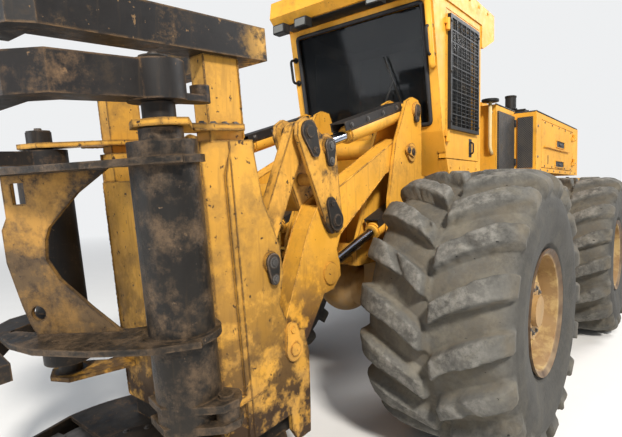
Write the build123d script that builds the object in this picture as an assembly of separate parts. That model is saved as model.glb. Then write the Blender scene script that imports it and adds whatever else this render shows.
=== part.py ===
from build123d import *
import os
from math import asin, atan2, cos, hypot, pi, radians, sin

# Wheeled feller buncher, parked with its felling head on the ground.
# Millimetres. X runs forward, Y to the machine's left, Z up. The model is drawn
# with X = 0 at the front axle and the ground at Z = 0, and is moved along X at the
# end so that the origin lies under the middle of its length.

# Overall sizes
WHEELBASE = 2925.0
TYRE_RADIUS = 826.0
TYRE_WIDTH = 820.0
TYRE_CENTRE_Y = 1041.0
RIM_RADIUS = 340.0
RIM_WIDTH = 690.0
AXLE_Z = TYRE_RADIUS
JOINT_X = -0.5 * WHEELBASE          # upright hinge between the two frames
PLAY = 0.3                          # gap between pieces that sit on each other
RUN = 0.05                          # radial play of a pin in its bore
SIDE_GAP = 6.0                      # gap between plates that turn past each other

# Tyres and rims
LUGS = 18                           # on each side of the tread
LUG_DEPTH = 52.0
LUG_SWEEP = 17.0                    # degrees that a lug trails between the middle and the shoulder
TYRE_SIDES = 36                     # flat sides of the casing, two for each lug
BEAD_Y = 0.5 * RIM_WIDTH
RIM_WALL = 14.0
RIM_LIP = 24.0
RIM_DISC_DEPTH = 95.0               # disc's place inside the rim's outer edge
RIM_DISC_THICK = 26.0
HUB_RADIUS = 165.0
HUB_DEPTH = 55.0
WHEEL_STUDS = 12
STUD_CIRCLE = 225.0

# Front frame
RAIL_IN = 300.0                     # inner face of the frame's side plates
RAIL_PLATE = 30.0
TOWER_OUT = 505.0                   # outer face of the boom towers
TOWER_PLATE = 25.0
DECK_Z = 1620.0
DECK_PLATE = 20.0
DECK_HALF = 600.0
FRAME_TOP = 1300.0
FRAME_OVER_AXLE = 1035.0
FRAME_LOW = 620.0
FRAME_FRONT_X = 330.0
FRAME_REAR_X = -1190.0
EAR_THICK = 50.0
EAR_GAP = 5.0
TONGUE_THICK = 55.0
HINGE_PIN_R = 48.0
HINGE_EAR_R = 125.0
HINGE_HEIGHTS = (660.0, 1210.0)     # middle of the lower and the upper tongue
AXLE_TUBE_R = 140.0
AXLE_BOWL_R = 200.0
AXLE_END_Y = 800.0
SHAFT_R = 45.0

# Boom linkage, (X, Z) of its pins
BOOM_PIN = (-84.0, 1799.0)
TILT_BASE = (-163.0, 2102.0)
ROCKER_PIN = (792.0, 1372.0)
TILT_EYE = (854.0, 1778.0)
LINK_TOP = (1018.0, 1843.0)
HEAD_PIN = (1157.0, 739.0)
LINK_FOOT = (1309.0, 1200.0)
LIFT_EYE = (806.0, 1071.0)
LIFT_BASE = (-330.0, 1490.0)
ARM_Y = 416.0                       # middle of each boom arm
ARM_WIDTH = 116.0
ARM_PLATE = 20.0
ROCKER_PLATE = 25.0
LINK_WIDTH = 60.0
PIN_R = 38.0
CAP_R = 62.0
CAP_THICK = 14.0
CROSS_TUBE_R = 95.0
CYL_BARREL_R = 55.0
CYL_ROD_R = 32.0
CYL_EYE_R = 58.0
CYL_EYE_WIDTH = 56.0
LIFT_BARREL_LENGTH = 640.0
TILT_BARREL_LENGTH = 760.0
GUARD_PLATE = 8.0

# Cab
CAB_HALF = 650.0
CAB_WALL = 55.0
CAB_FLOOR_Z = DECK_Z + DECK_PLATE + PLAY
CAB_TOP_Z = 2880.0
CAB_REAR_X = -1030.0
CAB_SILL = (-405.0, CAB_FLOOR_Z)    # front edge of the floor
CAB_KNEE = (-290.0, 1954.0)         # foot of the windscreen
CAB_BROW = (-122.0, CAB_TOP_Z)      # head of the windscreen
ROOF_THICK = 190.0
ROOF_OVERHANG_FRONT = 230.0
ROOF_OVERHANG_REAR = 290.0
DOOR_FRONT_X = -345.0
DOOR_REAR_X = -985.0
DOOR_LOW_Z = 1760.0
DOOR_HIGH_Z = CAB_TOP_Z - 50
DOOR_GAP = 6.0
GLASS = 8.0
GUARD_DEPTH = 26.0                  # mesh guards over the side windows
GUARD_EDGE = 24.0
GUARD_BARS_ACROSS = 6
GUARD_BARS_UP = 9

# Felling head
HEAD_LEAN = 5.0                     # degrees that the head leans forward at rest
TOWER_FRONT = 410.0                 # front face, ahead of the head pin
TOWER_TOP = 1050.0
TOWER_WALL = 25.0
TUBE_X = 660.0
TUBE_Y = 560.0
TUBE_R = 125.0
TUBE_LOW = -40.0
TUBE_HIGH = 1045.0
POST_R = 60.0
BASE_LOW = -600.0                   # underside of the saw housing
BASE_HIGH = -330.0
DISC_X = 640.0
DISC_R = 690.0
DISC_Z = -520.0
DISC_THICK = 28.0
DISC_TEETH = 18
HOUSING_R = 745.0
SPINDLE_R = 60.0
ACC_LOW = 1185.0                    # underside and top of the accumulator arm
ACC_HIGH = 1322.0
ACC_PIN_R = 45.0
HOUSING_WALL = 20.0

# Rear frame and enclosure
REAR_END_X = -4250.0
REAR_RAIL_IN = 230.0
REAR_RAIL_PLATE = 30.0
REAR_FRONT_X = -1735.0
REAR_DECK_Z = 1320.0
REAR_DECK_HALF = 600.0
COOLER_HALF = 620.0
COOLER_FRONT_X = -1510.0
HOOD_STEP_X = -2040.0
HOOD_HALF = 830.0
HOOD_LOW_Z = 1700.0
HOOD_TOP_Z = 2290.0
COOLER_TOP_Z = 2310.0
HOOD_REAR_X = -3960.0
HOOD_WALL = 30.0
STEER_BASE = (-900.0, 360.0)        # from the frame hinge, on the rear frame
STEER_EYE = (60.0, 320.0)           # from the frame hinge, on the front frame
STEER_Z = 935.0
STEER_BARREL_SHORT = 290.0          # barrel's end from the rod's eye at rest
STEER_OVERLAP = 340.0               # length of rod inside the barrel at rest

LUG_Y = 220.0                       # tie-down lugs: middle of the front ones
LUG_PLATE = 40.0
LUG_Z = 1060.0
LUG_FRONT_X = FRAME_FRONT_X + 75
LUG_BORE_R = 25.0
REAR_LUG_Y = 400.0
REAR_LUG_X = REAR_END_X + 120
REAR_LUG_Z = 710.0
KNUCKLE_R = 15.0                    # hinges of the doors
HINGE_OUT = KNUCKLE_R + 1           # hinge line outside the panel's face
HINGE_ROD_R = 7.0
LEAF = 80.0


def side_plate(points, y_low, y_high):
    """Plate with an outline in X and Z, from y_low to y_high."""
    outline = make_face(Polyline(*[(x, y_low, z) for x, z in points], close=True))
    return extrude(outline, amount=y_high - y_low, dir=(0, 1, 0))


def level_plate(points, z_low, z_high):
    """Plate with an outline in X and Y, from z_low to z_high."""
    outline = make_face(Polyline(*[(x, y, z_low) for x, y in points], close=True))
    return extrude(outline, amount=z_high - z_low, dir=(0, 0, 1))


def block(x_low, x_high, y_low, y_high, z_low, z_high):
    """Square block between six planes."""
    size = (x_high - x_low, y_high - y_low, z_high - z_low)
    middle = ((x_low + x_high) / 2, (y_low + y_high) / 2, (z_low + z_high) / 2)
    return Pos(*middle) * Box(*size)


def bar(start, end, radius):
    """Round bar from one point to another."""
    run = Vector(*end) - Vector(*start)
    seat = Plane(origin=start, z_dir=run.normalized())
    return seat * Cylinder(radius, run.length, align=(Align.CENTER, Align.CENTER, Align.MIN))


def cross_pin(at, radius, y_low, y_high):
    """Round bar across the machine at the point (X, Z)."""
    return bar((at[0], y_low, at[1]), (at[0], y_high, at[1]), radius)


def hex_head(at, radius, y_low, y_high):
    """Six-sided head across the machine at the point (X, Z)."""
    corners = []
    for n in range(6):
        a = pi * n / 3
        corners.append((at[0] + radius * cos(a), at[1] + radius * sin(a)))
    return side_plate(corners, min(y_low, y_high), max(y_low, y_high))


def strap(first, second, first_r, second_r, y_low, y_high):
    """Plate with two round ends joined by straight tangents, in X and Z."""
    dx = second[0] - first[0]
    dz = second[1] - first[1]
    length = hypot(dx, dz)
    lean = atan2(dz, dx)
    turn = asin((first_r - second_r) / length)
    corners = []
    for at, radius, side in ((first, first_r, 1), (second, second_r, 1),
                             (second, second_r, -1), (first, first_r, -1)):
        angle = lean + side * (pi / 2 - turn)
        corners.append((at[0] + radius * cos(angle), at[1] + radius * sin(angle)))
    plate = side_plate(corners, y_low, y_high)
    plate = plate + cross_pin(first, first_r, y_low, y_high)
    return plate + cross_pin(second, second_r, y_low, y_high)


def both_sides(shape):
    """The shape and its mirror image across the machine."""
    return [shape, mirror(shape, about=Plane.XZ)]


def fused(shapes):
    """One solid from a list of shapes that touch."""
    whole = shapes[0]
    for shape in shapes[1:]:
        whole = whole + shape
    return whole


def between(first, second, share):
    """Point on the line from first to second."""
    return (first[0] + (second[0] - first[0]) * share, first[1] + (second[1] - first[1]) * share)


def step_from(first, second, distance):
    """Point at a distance from first, towards second."""
    return between(first, second, distance / hypot(second[0] - first[0], second[1] - first[1]))


def door_hinge(at, z, frame_side, door_side):
    """Knuckle pair about the upright axis at (x, y); each side is (x, y) of its leaf's far corner."""
    def leaf(corner, low, high):
        x_low, x_high = sorted((at[0], corner[0]))
        y_low, y_high = sorted((at[1], corner[1]))
        return block(x_low, x_high, y_low, y_high, low, high)
    fixed = leaf(frame_side, z, z + 40) + bar((at[0], at[1], z), (at[0], at[1], z + 40), KNUCKLE_R)
    fixed = fixed + bar((at[0], at[1], z - 45), (at[0], at[1], z), HINGE_ROD_R)
    moving = leaf(door_side, z - 40 - PLAY, z - PLAY)
    moving = moving + bar((at[0], at[1], z - 40 - PLAY), (at[0], at[1], z - PLAY), KNUCKLE_R)
    moving = moving - bar((at[0], at[1], z - 50), (at[0], at[1], z + 5), HINGE_ROD_R + RUN)
    return fixed, moving


nodes = {}

# Wheels
HALF_TYRE = TYRE_WIDTH / 2
TYRE_PROFILE = (                    # (share of radius from bead to crown, distance from middle)
    (0.00, BEAD_Y - 8),
    (0.21, BEAD_Y + 26),
    (0.51, HALF_TYRE - 4),
    (0.81, HALF_TYRE - 12),
    (0.95, HALF_TYRE - 65),
    (1.00, HALF_TYRE * 0.49),
)
LUG_SECTIONS = (                    # (distance from middle, lower and upper radius, half width in degrees)
    (10.0, TYRE_RADIUS - 126, TYRE_RADIUS, 3.6),
    (HALF_TYRE * 0.73, TYRE_RADIUS - 126, TYRE_RADIUS - 14, 4.0),
    (HALF_TYRE, TYRE_RADIUS - 186, TYRE_RADIUS - 91, 4.4),
)


def flat_face(*points):
    """Flat face between corners given in order."""
    return Face(Wire.make_polygon(points, close=True))


def casing():
    """Tyre without its lugs, about the Y axis, as flat-sided rings."""
    bead = RIM_RADIUS / cos(pi / TYRE_SIDES)
    rise = TYRE_RADIUS - LUG_DEPTH - bead
    half = [(y, bead + share * rise) for share, y in TYRE_PROFILE]
    section = half + [(-y, r) for y, r in reversed(half)]
    rings = []
    for y, r in section + section[:1]:
        angles = [2 * pi * n / TYRE_SIDES for n in range(TYRE_SIDES + 1)]
        rings.append([(r * sin(a), y, r * cos(a)) for a in angles])
    faces = []
    for one, other in zip(rings, rings[1:]):
        for n in range(TYRE_SIDES):
            faces.append(flat_face(one[n], one[n + 1], other[n + 1], other[n]))
    return Solid(Shell(faces))


def tread_lug(turn, way):
    """Lug trailing from the middle to the shoulder; turn is its angle in degrees, way is 1 towards +Y."""
    corners = []
    for y, low, high, half in LUG_SECTIONS:
        middle = -turn - LUG_SWEEP * (y / HALF_TYRE) ** 0.72
        section = []
        for r, a in ((low, middle - half), (high, middle - half), (high, middle + half), (low, middle + half)):
            section.append((r * sin(radians(a)), way * y, r * cos(radians(a))))
        corners.append(section)
    faces = [flat_face(*corners[0]), flat_face(*corners[-1])]
    for one, other in zip(corners, corners[1:]):
        for n in range(4):
            m = (n + 1) % 4
            faces.append(flat_face(one[n], one[m], other[m]))
            faces.append(flat_face(one[n], other[m], other[n]))
    return Solid(Shell(faces))


def tyre():
    """Tyre about the Y axis, centred on the origin, its two rows of lugs half a step apart."""
    pitch = 360.0 / LUGS
    lugs = []
    for n in range(LUGS):
        lugs.append(tread_lug(pitch * (n + 0.75), 1))
        lugs.append(tread_lug(pitch * (n + 0.25), -1))
    return casing().fuse(*lugs)


def rim(side):
    """Rim, disc and hub about the Y axis; side is 1 with the dish open to +Y."""
    barrel_r = RIM_RADIUS - PLAY
    profile = [(barrel_r - RIM_WALL, -BEAD_Y + 12), (barrel_r - RIM_WALL, BEAD_Y - 12),
               (barrel_r, BEAD_Y - 12), (barrel_r, -BEAD_Y + 12)]
    ring = revolve(make_face(Polyline(*[(r, y, 0) for r, y in profile], close=True)), axis=Axis.Y)
    lips = []
    for way in (1, -1):
        lip = [(barrel_r - RIM_WALL, way * (BEAD_Y - 12)), (barrel_r, way * (BEAD_Y - 12)),
               (barrel_r, way * (BEAD_Y - 8 + PLAY)), (barrel_r + RIM_LIP, way * (BEAD_Y + 22)),
               (barrel_r + RIM_LIP, way * (BEAD_Y + 34)), (barrel_r - RIM_WALL, way * (BEAD_Y + 12))]
        lips.append(revolve(make_face(Polyline(*[(r, y, 0) for r, y in lip], close=True)), axis=Axis.Y))
    disc_y = side * (BEAD_Y - RIM_DISC_DEPTH)
    inward = -side
    disc = bar((0, disc_y, 0), (0, disc_y + inward * RIM_DISC_THICK, 0), barrel_r - RIM_WALL + 1)
    hub = bar((0, disc_y + side * HUB_DEPTH, 0), (0, disc_y, 0), HUB_RADIUS)
    hub = hub + bar((0, disc_y + side * (HUB_DEPTH + 30), 0), (0, disc_y, 0), HUB_RADIUS * 0.55)
    studs = []
    for n in range(WHEEL_STUDS):
        a = 2 * pi * n / WHEEL_STUDS
        x = STUD_CIRCLE * cos(a)
        z = STUD_CIRCLE * sin(a)
        studs.append(hex_head((x, z), 17, disc_y - side, disc_y + side * 26))
    return fused([ring] + lips + [disc, hub] + studs)


WHEELS = (                          # (name, X of the axle, side)
    ("front_left", 0.0, 1),
    ("front_right", 0.0, -1),
    ("rear_left", -WHEELBASE, 1),
    ("rear_right", -WHEELBASE, -1),
)
one_tyre = tyre()
for name, axle_x, side in WHEELS:
    seat = Pos(axle_x, side * TYRE_CENTRE_Y, AXLE_Z)
    nodes[name + "_tyre"] = seat * one_tyre
    nodes[name + "_rim"] = seat * rim(side)

# Axles with their drive shafts
AXLE_FACE_Y = TYRE_CENTRE_Y + BEAD_Y - RIM_DISC_DEPTH - RIM_DISC_THICK - PLAY


def axle(axle_x, shaft_end_x, ball_r):
    """Rigid axle with saddles under the frame and half of the drive shaft."""
    shapes = [cross_pin((axle_x, AXLE_Z), AXLE_TUBE_R, -AXLE_END_Y, AXLE_END_Y)]
    shapes.append(cross_pin((axle_x, AXLE_Z), 205, AXLE_END_Y - 70, AXLE_FACE_Y))
    shapes.append(cross_pin((axle_x, AXLE_Z), 205, -AXLE_FACE_Y, -AXLE_END_Y + 70))
    shapes.append(Pos(axle_x, 0, AXLE_Z) * Sphere(AXLE_BOWL_R))
    for y in (-SADDLE_Y, SADDLE_Y):
        top = FRAME_OVER_AXLE - PLAY
        shapes.append(block(axle_x - 130, axle_x + 130, y - 60, y + 60, AXLE_Z, top))
    way = 1 if shaft_end_x > axle_x else -1
    shaft_z = AXLE_Z + 20
    nose = axle_x + way * (AXLE_BOWL_R + 60)
    shapes.append(bar((axle_x, 0, shaft_z), (nose, 0, shaft_z), 95))
    shapes.append(bar((nose - way * 10, 0, shaft_z), (shaft_end_x, 0, shaft_z), SHAFT_R))
    if ball_r:
        shapes.append(Pos(shaft_end_x, 0, shaft_z) * Sphere(ball_r))
    else:
        shapes.append(bar((shaft_end_x - way * 30, 0, shaft_z), (shaft_end_x, 0, shaft_z), 62))
    return fused(shapes)


SADDLE_Y = RAIL_IN + RAIL_PLATE / 2
nodes["front_axle"] = axle(0.0, JOINT_X, 60.0)
SADDLE_Y = REAR_RAIL_IN + REAR_RAIL_PLATE / 2
nodes["rear_axle"] = axle(-WHEELBASE, JOINT_X - 68.0, 0.0)

# Front frame
rail_outline = (
    (FRAME_REAR_X, FRAME_LOW), (-420.0, FRAME_LOW), (-300.0, FRAME_OVER_AXLE),
    (FRAME_FRONT_X, FRAME_OVER_AXLE), (FRAME_FRONT_X, FRAME_TOP - 120), (200.0, 1474.0),
    (115.0, 1850.0), (-38.0, 2150.0), (-120.0, 2186.0), (-205.0, 2175.0), (-243.0, 2110.0),
    (-258.0, 1954.0), (-258.0, DECK_Z + DECK_PLATE), (-440.0, DECK_Z), (FRAME_REAR_X + 130, DECK_Z),
    (FRAME_REAR_X + 130, FRAME_TOP), (FRAME_REAR_X, FRAME_TOP),
)
tower_outline = (
    (-560.0, 1330.0), (-180.0, 1080.0), (215.0, 1080.0), (200.0, 1474.0), (115.0, 1850.0),
    (-38.0, 2150.0), (-120.0, 2186.0), (-205.0, 2175.0), (-243.0, 2110.0), (-258.0, 1954.0),
    (-258.0, DECK_Z + DECK_PLATE), (-440.0, DECK_Z), (-560.0, DECK_Z),
)
frame_parts = both_sides(side_plate(rail_outline, RAIL_IN, RAIL_IN + RAIL_PLATE))
frame_parts += both_sides(side_plate(tower_outline, TOWER_OUT - TOWER_PLATE, TOWER_OUT))
# floor and rear wall of each tower, between its two plates
frame_parts += both_sides(block(-180, 215, RAIL_IN + RAIL_PLATE, TOWER_OUT - TOWER_PLATE, 1080, 1100))
frame_parts += both_sides(block(-560, -540, RAIL_IN + RAIL_PLATE, TOWER_OUT - TOWER_PLATE, 1330, DECK_Z))
frame_parts.append(block(-200, FRAME_FRONT_X, -RAIL_IN, RAIL_IN, FRAME_OVER_AXLE, FRAME_OVER_AXLE + 25))
frame_parts.append(block(FRAME_FRONT_X - 25, FRAME_FRONT_X, -RAIL_IN, RAIL_IN, FRAME_OVER_AXLE,
                         FRAME_TOP - 120))
frame_parts.append(block(-460, -435, -RAIL_IN, RAIL_IN, FRAME_LOW + 30, DECK_Z))
frame_parts.append(block(FRAME_REAR_X, FRAME_REAR_X + 30, -RAIL_IN, RAIL_IN, FRAME_LOW, FRAME_TOP))
frame_parts.append(block(FRAME_REAR_X + 130, -440, -DECK_HALF, DECK_HALF, DECK_Z, DECK_Z + DECK_PLATE))
# boom pivots are carried by a tube across the two towers
frame_parts.append(cross_pin((-150.0, 1850.0), 70, -RAIL_IN, RAIL_IN))
frame = fused(frame_parts)
frame = frame - block(-1400, -1000, -90, 90, AXLE_Z - 60, AXLE_Z + 110) - block(
    -500, -400, -90, 90, AXLE_Z - 60, AXLE_Z + 110)


def hinge_ears(root_x, nose_x, half_root, z_low, z_high):
    """Tapered ear with a round nose about the upright hinge."""
    ear = level_plate(((root_x, -half_root), (root_x, half_root), (nose_x, HINGE_EAR_R),
                       (nose_x, -HINGE_EAR_R)), z_low, z_high)
    return ear + bar((nose_x, 0, z_low), (nose_x, 0, z_high), HINGE_EAR_R)


frame_ears = []
for z in HINGE_HEIGHTS:
    for low, high in ((z - TONGUE_THICK / 2 - EAR_GAP - EAR_THICK, z - TONGUE_THICK / 2 - EAR_GAP),
                      (z + TONGUE_THICK / 2 + EAR_GAP, z + TONGUE_THICK / 2 + EAR_GAP + EAR_THICK)):
        frame_ears.append(hinge_ears(FRAME_REAR_X + 20, JOINT_X, 190, low, high))
    pin_low = z - TONGUE_THICK / 2 - EAR_GAP - EAR_THICK - 20
    pin_high = z + TONGUE_THICK / 2 + EAR_GAP + EAR_THICK + 20
    frame_ears.append(bar((JOINT_X, 0, pin_low), (JOINT_X, 0, pin_high), HINGE_PIN_R))
frame = fused([frame] + frame_ears)
# brackets for the steering rods, each an ear above and one below the rod's eye
eye_x = JOINT_X + STEER_EYE[0]
EYE_GAP = 2.0
for side in (1, -1):
    for low, high in ((STEER_Z + CYL_EYE_WIDTH / 2 + EYE_GAP, STEER_Z + CYL_EYE_WIDTH / 2 + EYE_GAP + 25),
                      (STEER_Z - CYL_EYE_WIDTH / 2 - EYE_GAP - 25, STEER_Z - CYL_EYE_WIDTH / 2 - EYE_GAP)):
        y = side * STEER_EYE[1]
        ear = level_plate(((FRAME_REAR_X + 20, y - side * 90), (FRAME_REAR_X + 20, side * RAIL_IN),
                           (eye_x, y + side * CYL_EYE_R), (eye_x, y - side * CYL_EYE_R)), low, high)
        ear = ear + bar((eye_x, y, low), (eye_x, y, high), CYL_EYE_R)
        cap = 8 if low > STEER_Z else -8
        frame = frame + ear + bar((eye_x, y, min(low, low + cap)), (eye_x, y, max(high, high + cap)), PIN_R)
# boom pins and tilt cylinder pins, with round caps outside the towers
for at, radius in ((BOOM_PIN, PIN_R + 8), (TILT_BASE, PIN_R), (LIFT_BASE, PIN_R)):
    for side in (1, -1):
        frame = frame + cross_pin(at, radius, min(side * RAIL_IN, side * (TOWER_OUT + CAP_THICK)),
                                  max(side * RAIL_IN, side * (TOWER_OUT + CAP_THICK)))
# tie-down lugs ahead of the front cross plate
for side in (1, -1):
    y = side * LUG_Y
    lug = level_plate(((FRAME_FRONT_X - 5, y - 75), (LUG_FRONT_X, y - 45), (LUG_FRONT_X, y + 45),
                       (FRAME_FRONT_X - 5, y + 75)), LUG_Z, LUG_Z + LUG_PLATE)
    lug = lug + bar((LUG_FRONT_X, y, LUG_Z), (LUG_FRONT_X, y, LUG_Z + LUG_PLATE), 45)
    frame = frame + (lug - bar((LUG_FRONT_X, y, LUG_Z - 5), (LUG_FRONT_X, y, LUG_Z + LUG_PLATE + 5), LUG_BORE_R))
nodes["front_chassis"] = frame

# Boom
arm_in = ARM_Y - ARM_WIDTH / 2
arm_out = ARM_Y + ARM_WIDTH / 2
arm_outline = (
    (-150.0, 1742.0), (-180.0, 1800.0), (-160.0, 1862.0), (-100.0, 1898.0), (-20.0, 1896.0),
    (104.0, 1855.0), (805.0, 1512.0), (905.0, 1460.0), (990.0, 1330.0), (1200.0, 830.0),
    (1258.0, 760.0), (1252.0, 690.0), (1190.0, 640.0), (1120.0, 645.0), (1000.0, 760.0),
    (860.0, 965.0), (775.0, 975.0), (706.0, 1045.0), (712.0, 1120.0), (740.0, 1200.0),
    (700.0, 1290.0), (210.0, 1640.0),
)
top_plate = ((-20.0, 1896.0), (104.0, 1855.0), (805.0, 1512.0), (805.0, 1490.0), (98.0, 1833.0),
             (-24.0, 1874.0))
low_plate = ((-150.0, 1742.0), (210.0, 1640.0), (700.0, 1290.0), (700.0, 1312.0), (218.0, 1662.0),
             (-144.0, 1764.0))
front_plate = ((905.0, 1460.0), (990.0, 1330.0), (1200.0, 830.0), (1180.0, 822.0), (970.0, 1322.0),
               (890.0, 1445.0))
boom_parts = []
for low, high in ((arm_in, arm_in + ARM_PLATE), (arm_out - ARM_PLATE, arm_out)):
    boom_parts += both_sides(side_plate(arm_outline, low, high))
for outline in (top_plate, low_plate, front_plate):
    boom_parts += both_sides(side_plate(outline, arm_in, arm_out))
boom_parts.append(cross_pin((560.0, 1500.0), CROSS_TUBE_R, -arm_in, arm_in))
boom_parts.append(cross_pin((1010.0, 1010.0), CROSS_TUBE_R * 0.8, -arm_in, arm_in))
boom_parts.append(cross_pin((560.0, 1500.0), 60, -arm_out, arm_out))
boom = fused(boom_parts)
# bosses through the arms, then the bores for the pins
for at, radius in ((BOOM_PIN, 80), (ROCKER_PIN, 72), (HEAD_PIN, 80)):
    for side in (1, -1):
        boom = boom + cross_pin(at, radius, *sorted((side * arm_in, side * arm_out)))
for at, radius in ((BOOM_PIN, PIN_R + 8), (ROCKER_PIN, PIN_R), (HEAD_PIN, PIN_R + 4)):
    for side in (1, -1):
        boom = boom - cross_pin(at, radius + RUN, *sorted((side * (arm_in - 5), side * (arm_out + 5))))
# ends of the lift rods' pins, in the two plates of each arm
for side in (1, -1):
    for low, high in ((arm_in - 10, arm_in + ARM_PLATE), (arm_out - ARM_PLATE, arm_out + 12)):
        boom = boom + cross_pin(LIFT_EYE, CAP_R, *sorted((side * low, side * high)))
nodes["boom_arms"] = boom

# Cylinders
def cylinder_parts(base, eye, barrel_length, base_r, y):
    """Barrel with its base eye and guard, and rod with its eye, between two (X, Z) points."""
    length = hypot(eye[0] - base[0], eye[1] - base[1])
    half = CYL_EYE_WIDTH / 2
    y_low = y - half
    y_high = y + half
    start = step_from(base, eye, base_r - 6)
    end = step_from(base, eye, barrel_length)
    barrel = bar((start[0], y, start[1]), (end[0], y, end[1]), CYL_BARREL_R)
    foot = step_from(base, eye, 20)
    barrel = barrel + bar((foot[0], y, foot[1]), (start[0], y, start[1]), half)
    barrel = barrel + cross_pin(base, base_r - 12, y_low, y_high)
    barrel = barrel - cross_pin(base, PIN_R + RUN, y_low - 5, y_high + 5)
    gland = step_from(base, eye, barrel_length - 40)
    tip = step_from(base, eye, barrel_length + 18)
    barrel = barrel + bar((gland[0], y, gland[1]), (tip[0], y, tip[1]), CYL_BARREL_R - 10)
    bottom = step_from(base, eye, barrel_length * 0.25)
    barrel = barrel - bar((bottom[0], y, bottom[1]), (tip[0], y, tip[1]), CYL_ROD_R + RUN)
    rod_start = step_from(base, eye, barrel_length * 0.25 + 70)
    neck = step_from(base, eye, length - CYL_EYE_R + 8)
    rod = bar((rod_start[0], y, rod_start[1]), (neck[0], y, neck[1]), CYL_ROD_R)
    rod = rod + cross_pin(eye, CYL_EYE_R, y_low, y_high)
    return barrel, rod


lift_barrel, lift_rod = cylinder_parts(LIFT_BASE, LIFT_EYE, LIFT_BARREL_LENGTH, 78, ARM_Y)
tilt_barrel, tilt_rod = cylinder_parts(TILT_BASE, TILT_EYE, TILT_BARREL_LENGTH, 78, ARM_Y)


def guard_over(base, eye, start, end, lift, spread):
    """Bent guard plate above a barrel, standing on two short posts."""
    a = step_from(base, eye, start)
    b = step_from(base, eye, end)
    lean = atan2(b[1] - a[1], b[0] - a[0])
    up = (-sin(lean), cos(lean))
    def raised(p, height):
        return (p[0] + up[0] * height, p[1] + up[1] * height)
    shell = side_plate((raised(a, lift), raised(b, lift), raised(b, lift + GUARD_PLATE),
                        raised(a, lift + GUARD_PLATE)), ARM_Y - spread, ARM_Y + spread)
    for way in (-1, 1):
        y = ARM_Y + way * (spread - GUARD_PLATE / 2)
        shell = shell + side_plate((raised(a, lift - 45), raised(b, lift - 45), raised(b, lift + GUARD_PLATE),
                                    raised(a, lift + GUARD_PLATE)), y - GUARD_PLATE / 2, y + GUARD_PLATE / 2)
    for share in (0.15, 0.8):
        p = between(a, b, share)
        q = raised(p, lift + 2)
        p = raised(p, CYL_BARREL_R - 12)
        shell = shell + bar((p[0], ARM_Y, p[1]), (q[0], ARM_Y, q[1]), 16)
    return shell


lift_barrel = lift_barrel + guard_over(LIFT_BASE, LIFT_EYE, 170, LIFT_BARREL_LENGTH - 10, 70, 54)
tilt_barrel = tilt_barrel + guard_over(TILT_BASE, TILT_EYE, 130, TILT_BARREL_LENGTH + 60, 78, 56)
nodes["lift_barrels"] = Compound(both_sides(lift_barrel))
nodes["lift_rods"] = Compound(both_sides(lift_rod))
nodes["tilt_barrels"] = Compound(both_sides(tilt_barrel))
nodes["tilt_rods"] = Compound(both_sides(tilt_rod))


def steering_parts(side):
    """Barrel and rod of a steering cylinder, with upright pins."""
    base = Vector(JOINT_X + STEER_BASE[0], side * STEER_BASE[1], STEER_Z)
    eye = Vector(JOINT_X + STEER_EYE[0], side * STEER_EYE[1], STEER_Z)
    run = (eye - base).normalized()
    half = Vector(0, 0, CYL_EYE_WIDTH / 2)
    length = (eye - base).length
    barrel_end = length - STEER_BARREL_SHORT
    barrel = bar(tuple(base + run * 95), tuple(base + run * barrel_end), 46)
    barrel = barrel + bar(tuple(base), tuple(base + run * 100), 27)
    barrel = barrel + bar(tuple(base - half), tuple(base + half), CYL_EYE_R)
    barrel = barrel - bar(tuple(base - half * 1.2), tuple(base + half * 1.2), PIN_R + RUN)
    barrel = barrel - bar(tuple(base + run * 105), tuple(base + run * (barrel_end + 5)), 24 + RUN)
    rod = bar(tuple(base + run * (barrel_end - STEER_OVERLAP)), tuple(eye - run * 50), 24)
    rod = rod + bar(tuple(eye - half), tuple(eye + half), 52)
    return barrel, rod


for side, name in ((1, "left"), (-1, "right")):
    nodes["steer_barrel_" + name], nodes["steer_rod_" + name] = steering_parts(side)

# Rockers, links and their pins
rocker_faces = ((arm_in - SIDE_GAP - ROCKER_PLATE, arm_in - SIDE_GAP),
                (arm_out + SIDE_GAP, arm_out + SIDE_GAP + ROCKER_PLATE))
rocker_outline = ((720.0, 1330.0), (760.0, 1300.0), (825.0, 1298.0), (866.0, 1340.0), (1100.0, 1820.0),
                  (1092.0, 1885.0), (1040.0, 1918.0), (970.0, 1905.0), (925.0, 1850.0), (905.0, 1838.0),
                  (850.0, 1850.0), (795.0, 1820.0), (778.0, 1765.0))
rockers = []
for side in (1, -1):
    plates = []
    for low, high in rocker_faces:
        plates.append(side_plate(rocker_outline, *sorted((side * low, side * high))))
    # spacer tube joins the two plates between their upper pins
    inner = (rocker_faces[0][0], rocker_faces[1][1])
    pair = fused(plates + [cross_pin((905.0, 1600.0), 34, *sorted((side * inner[0], side * inner[1])))])
    for low, high in ((rocker_faces[0][0] - CAP_THICK, rocker_faces[0][1]),
                      (rocker_faces[1][0], rocker_faces[1][1] + CAP_THICK)):
        pair = pair + cross_pin(TILT_EYE, PIN_R + 10, *sorted((side * low, side * high)))
    for at in (ROCKER_PIN, LINK_TOP):
        pair = pair - cross_pin(at, PIN_R + RUN, *sorted((side * (inner[0] - 30), side * (inner[1] + 30))))
    rockers.append(pair)
nodes["rockers"] = Compound(rockers)


def keeper(at, lean, reach, radius, y_low, y_high):
    """Oblong plate that locks a pin, with the pin's end and a bolt head standing on its outer face."""
    tip = (at[0] + reach * cos(radians(lean)), at[1] + reach * sin(radians(lean)))
    plate = strap(at, tip, radius, radius * 0.62, *sorted((y_low, y_high)))
    outer = y_high + (8 if y_high > y_low else -8)
    plate = plate + cross_pin(at, radius * 0.55, *sorted((y_low, outer)))
    return plate + hex_head(tip, 17, y_low, outer)


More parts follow.
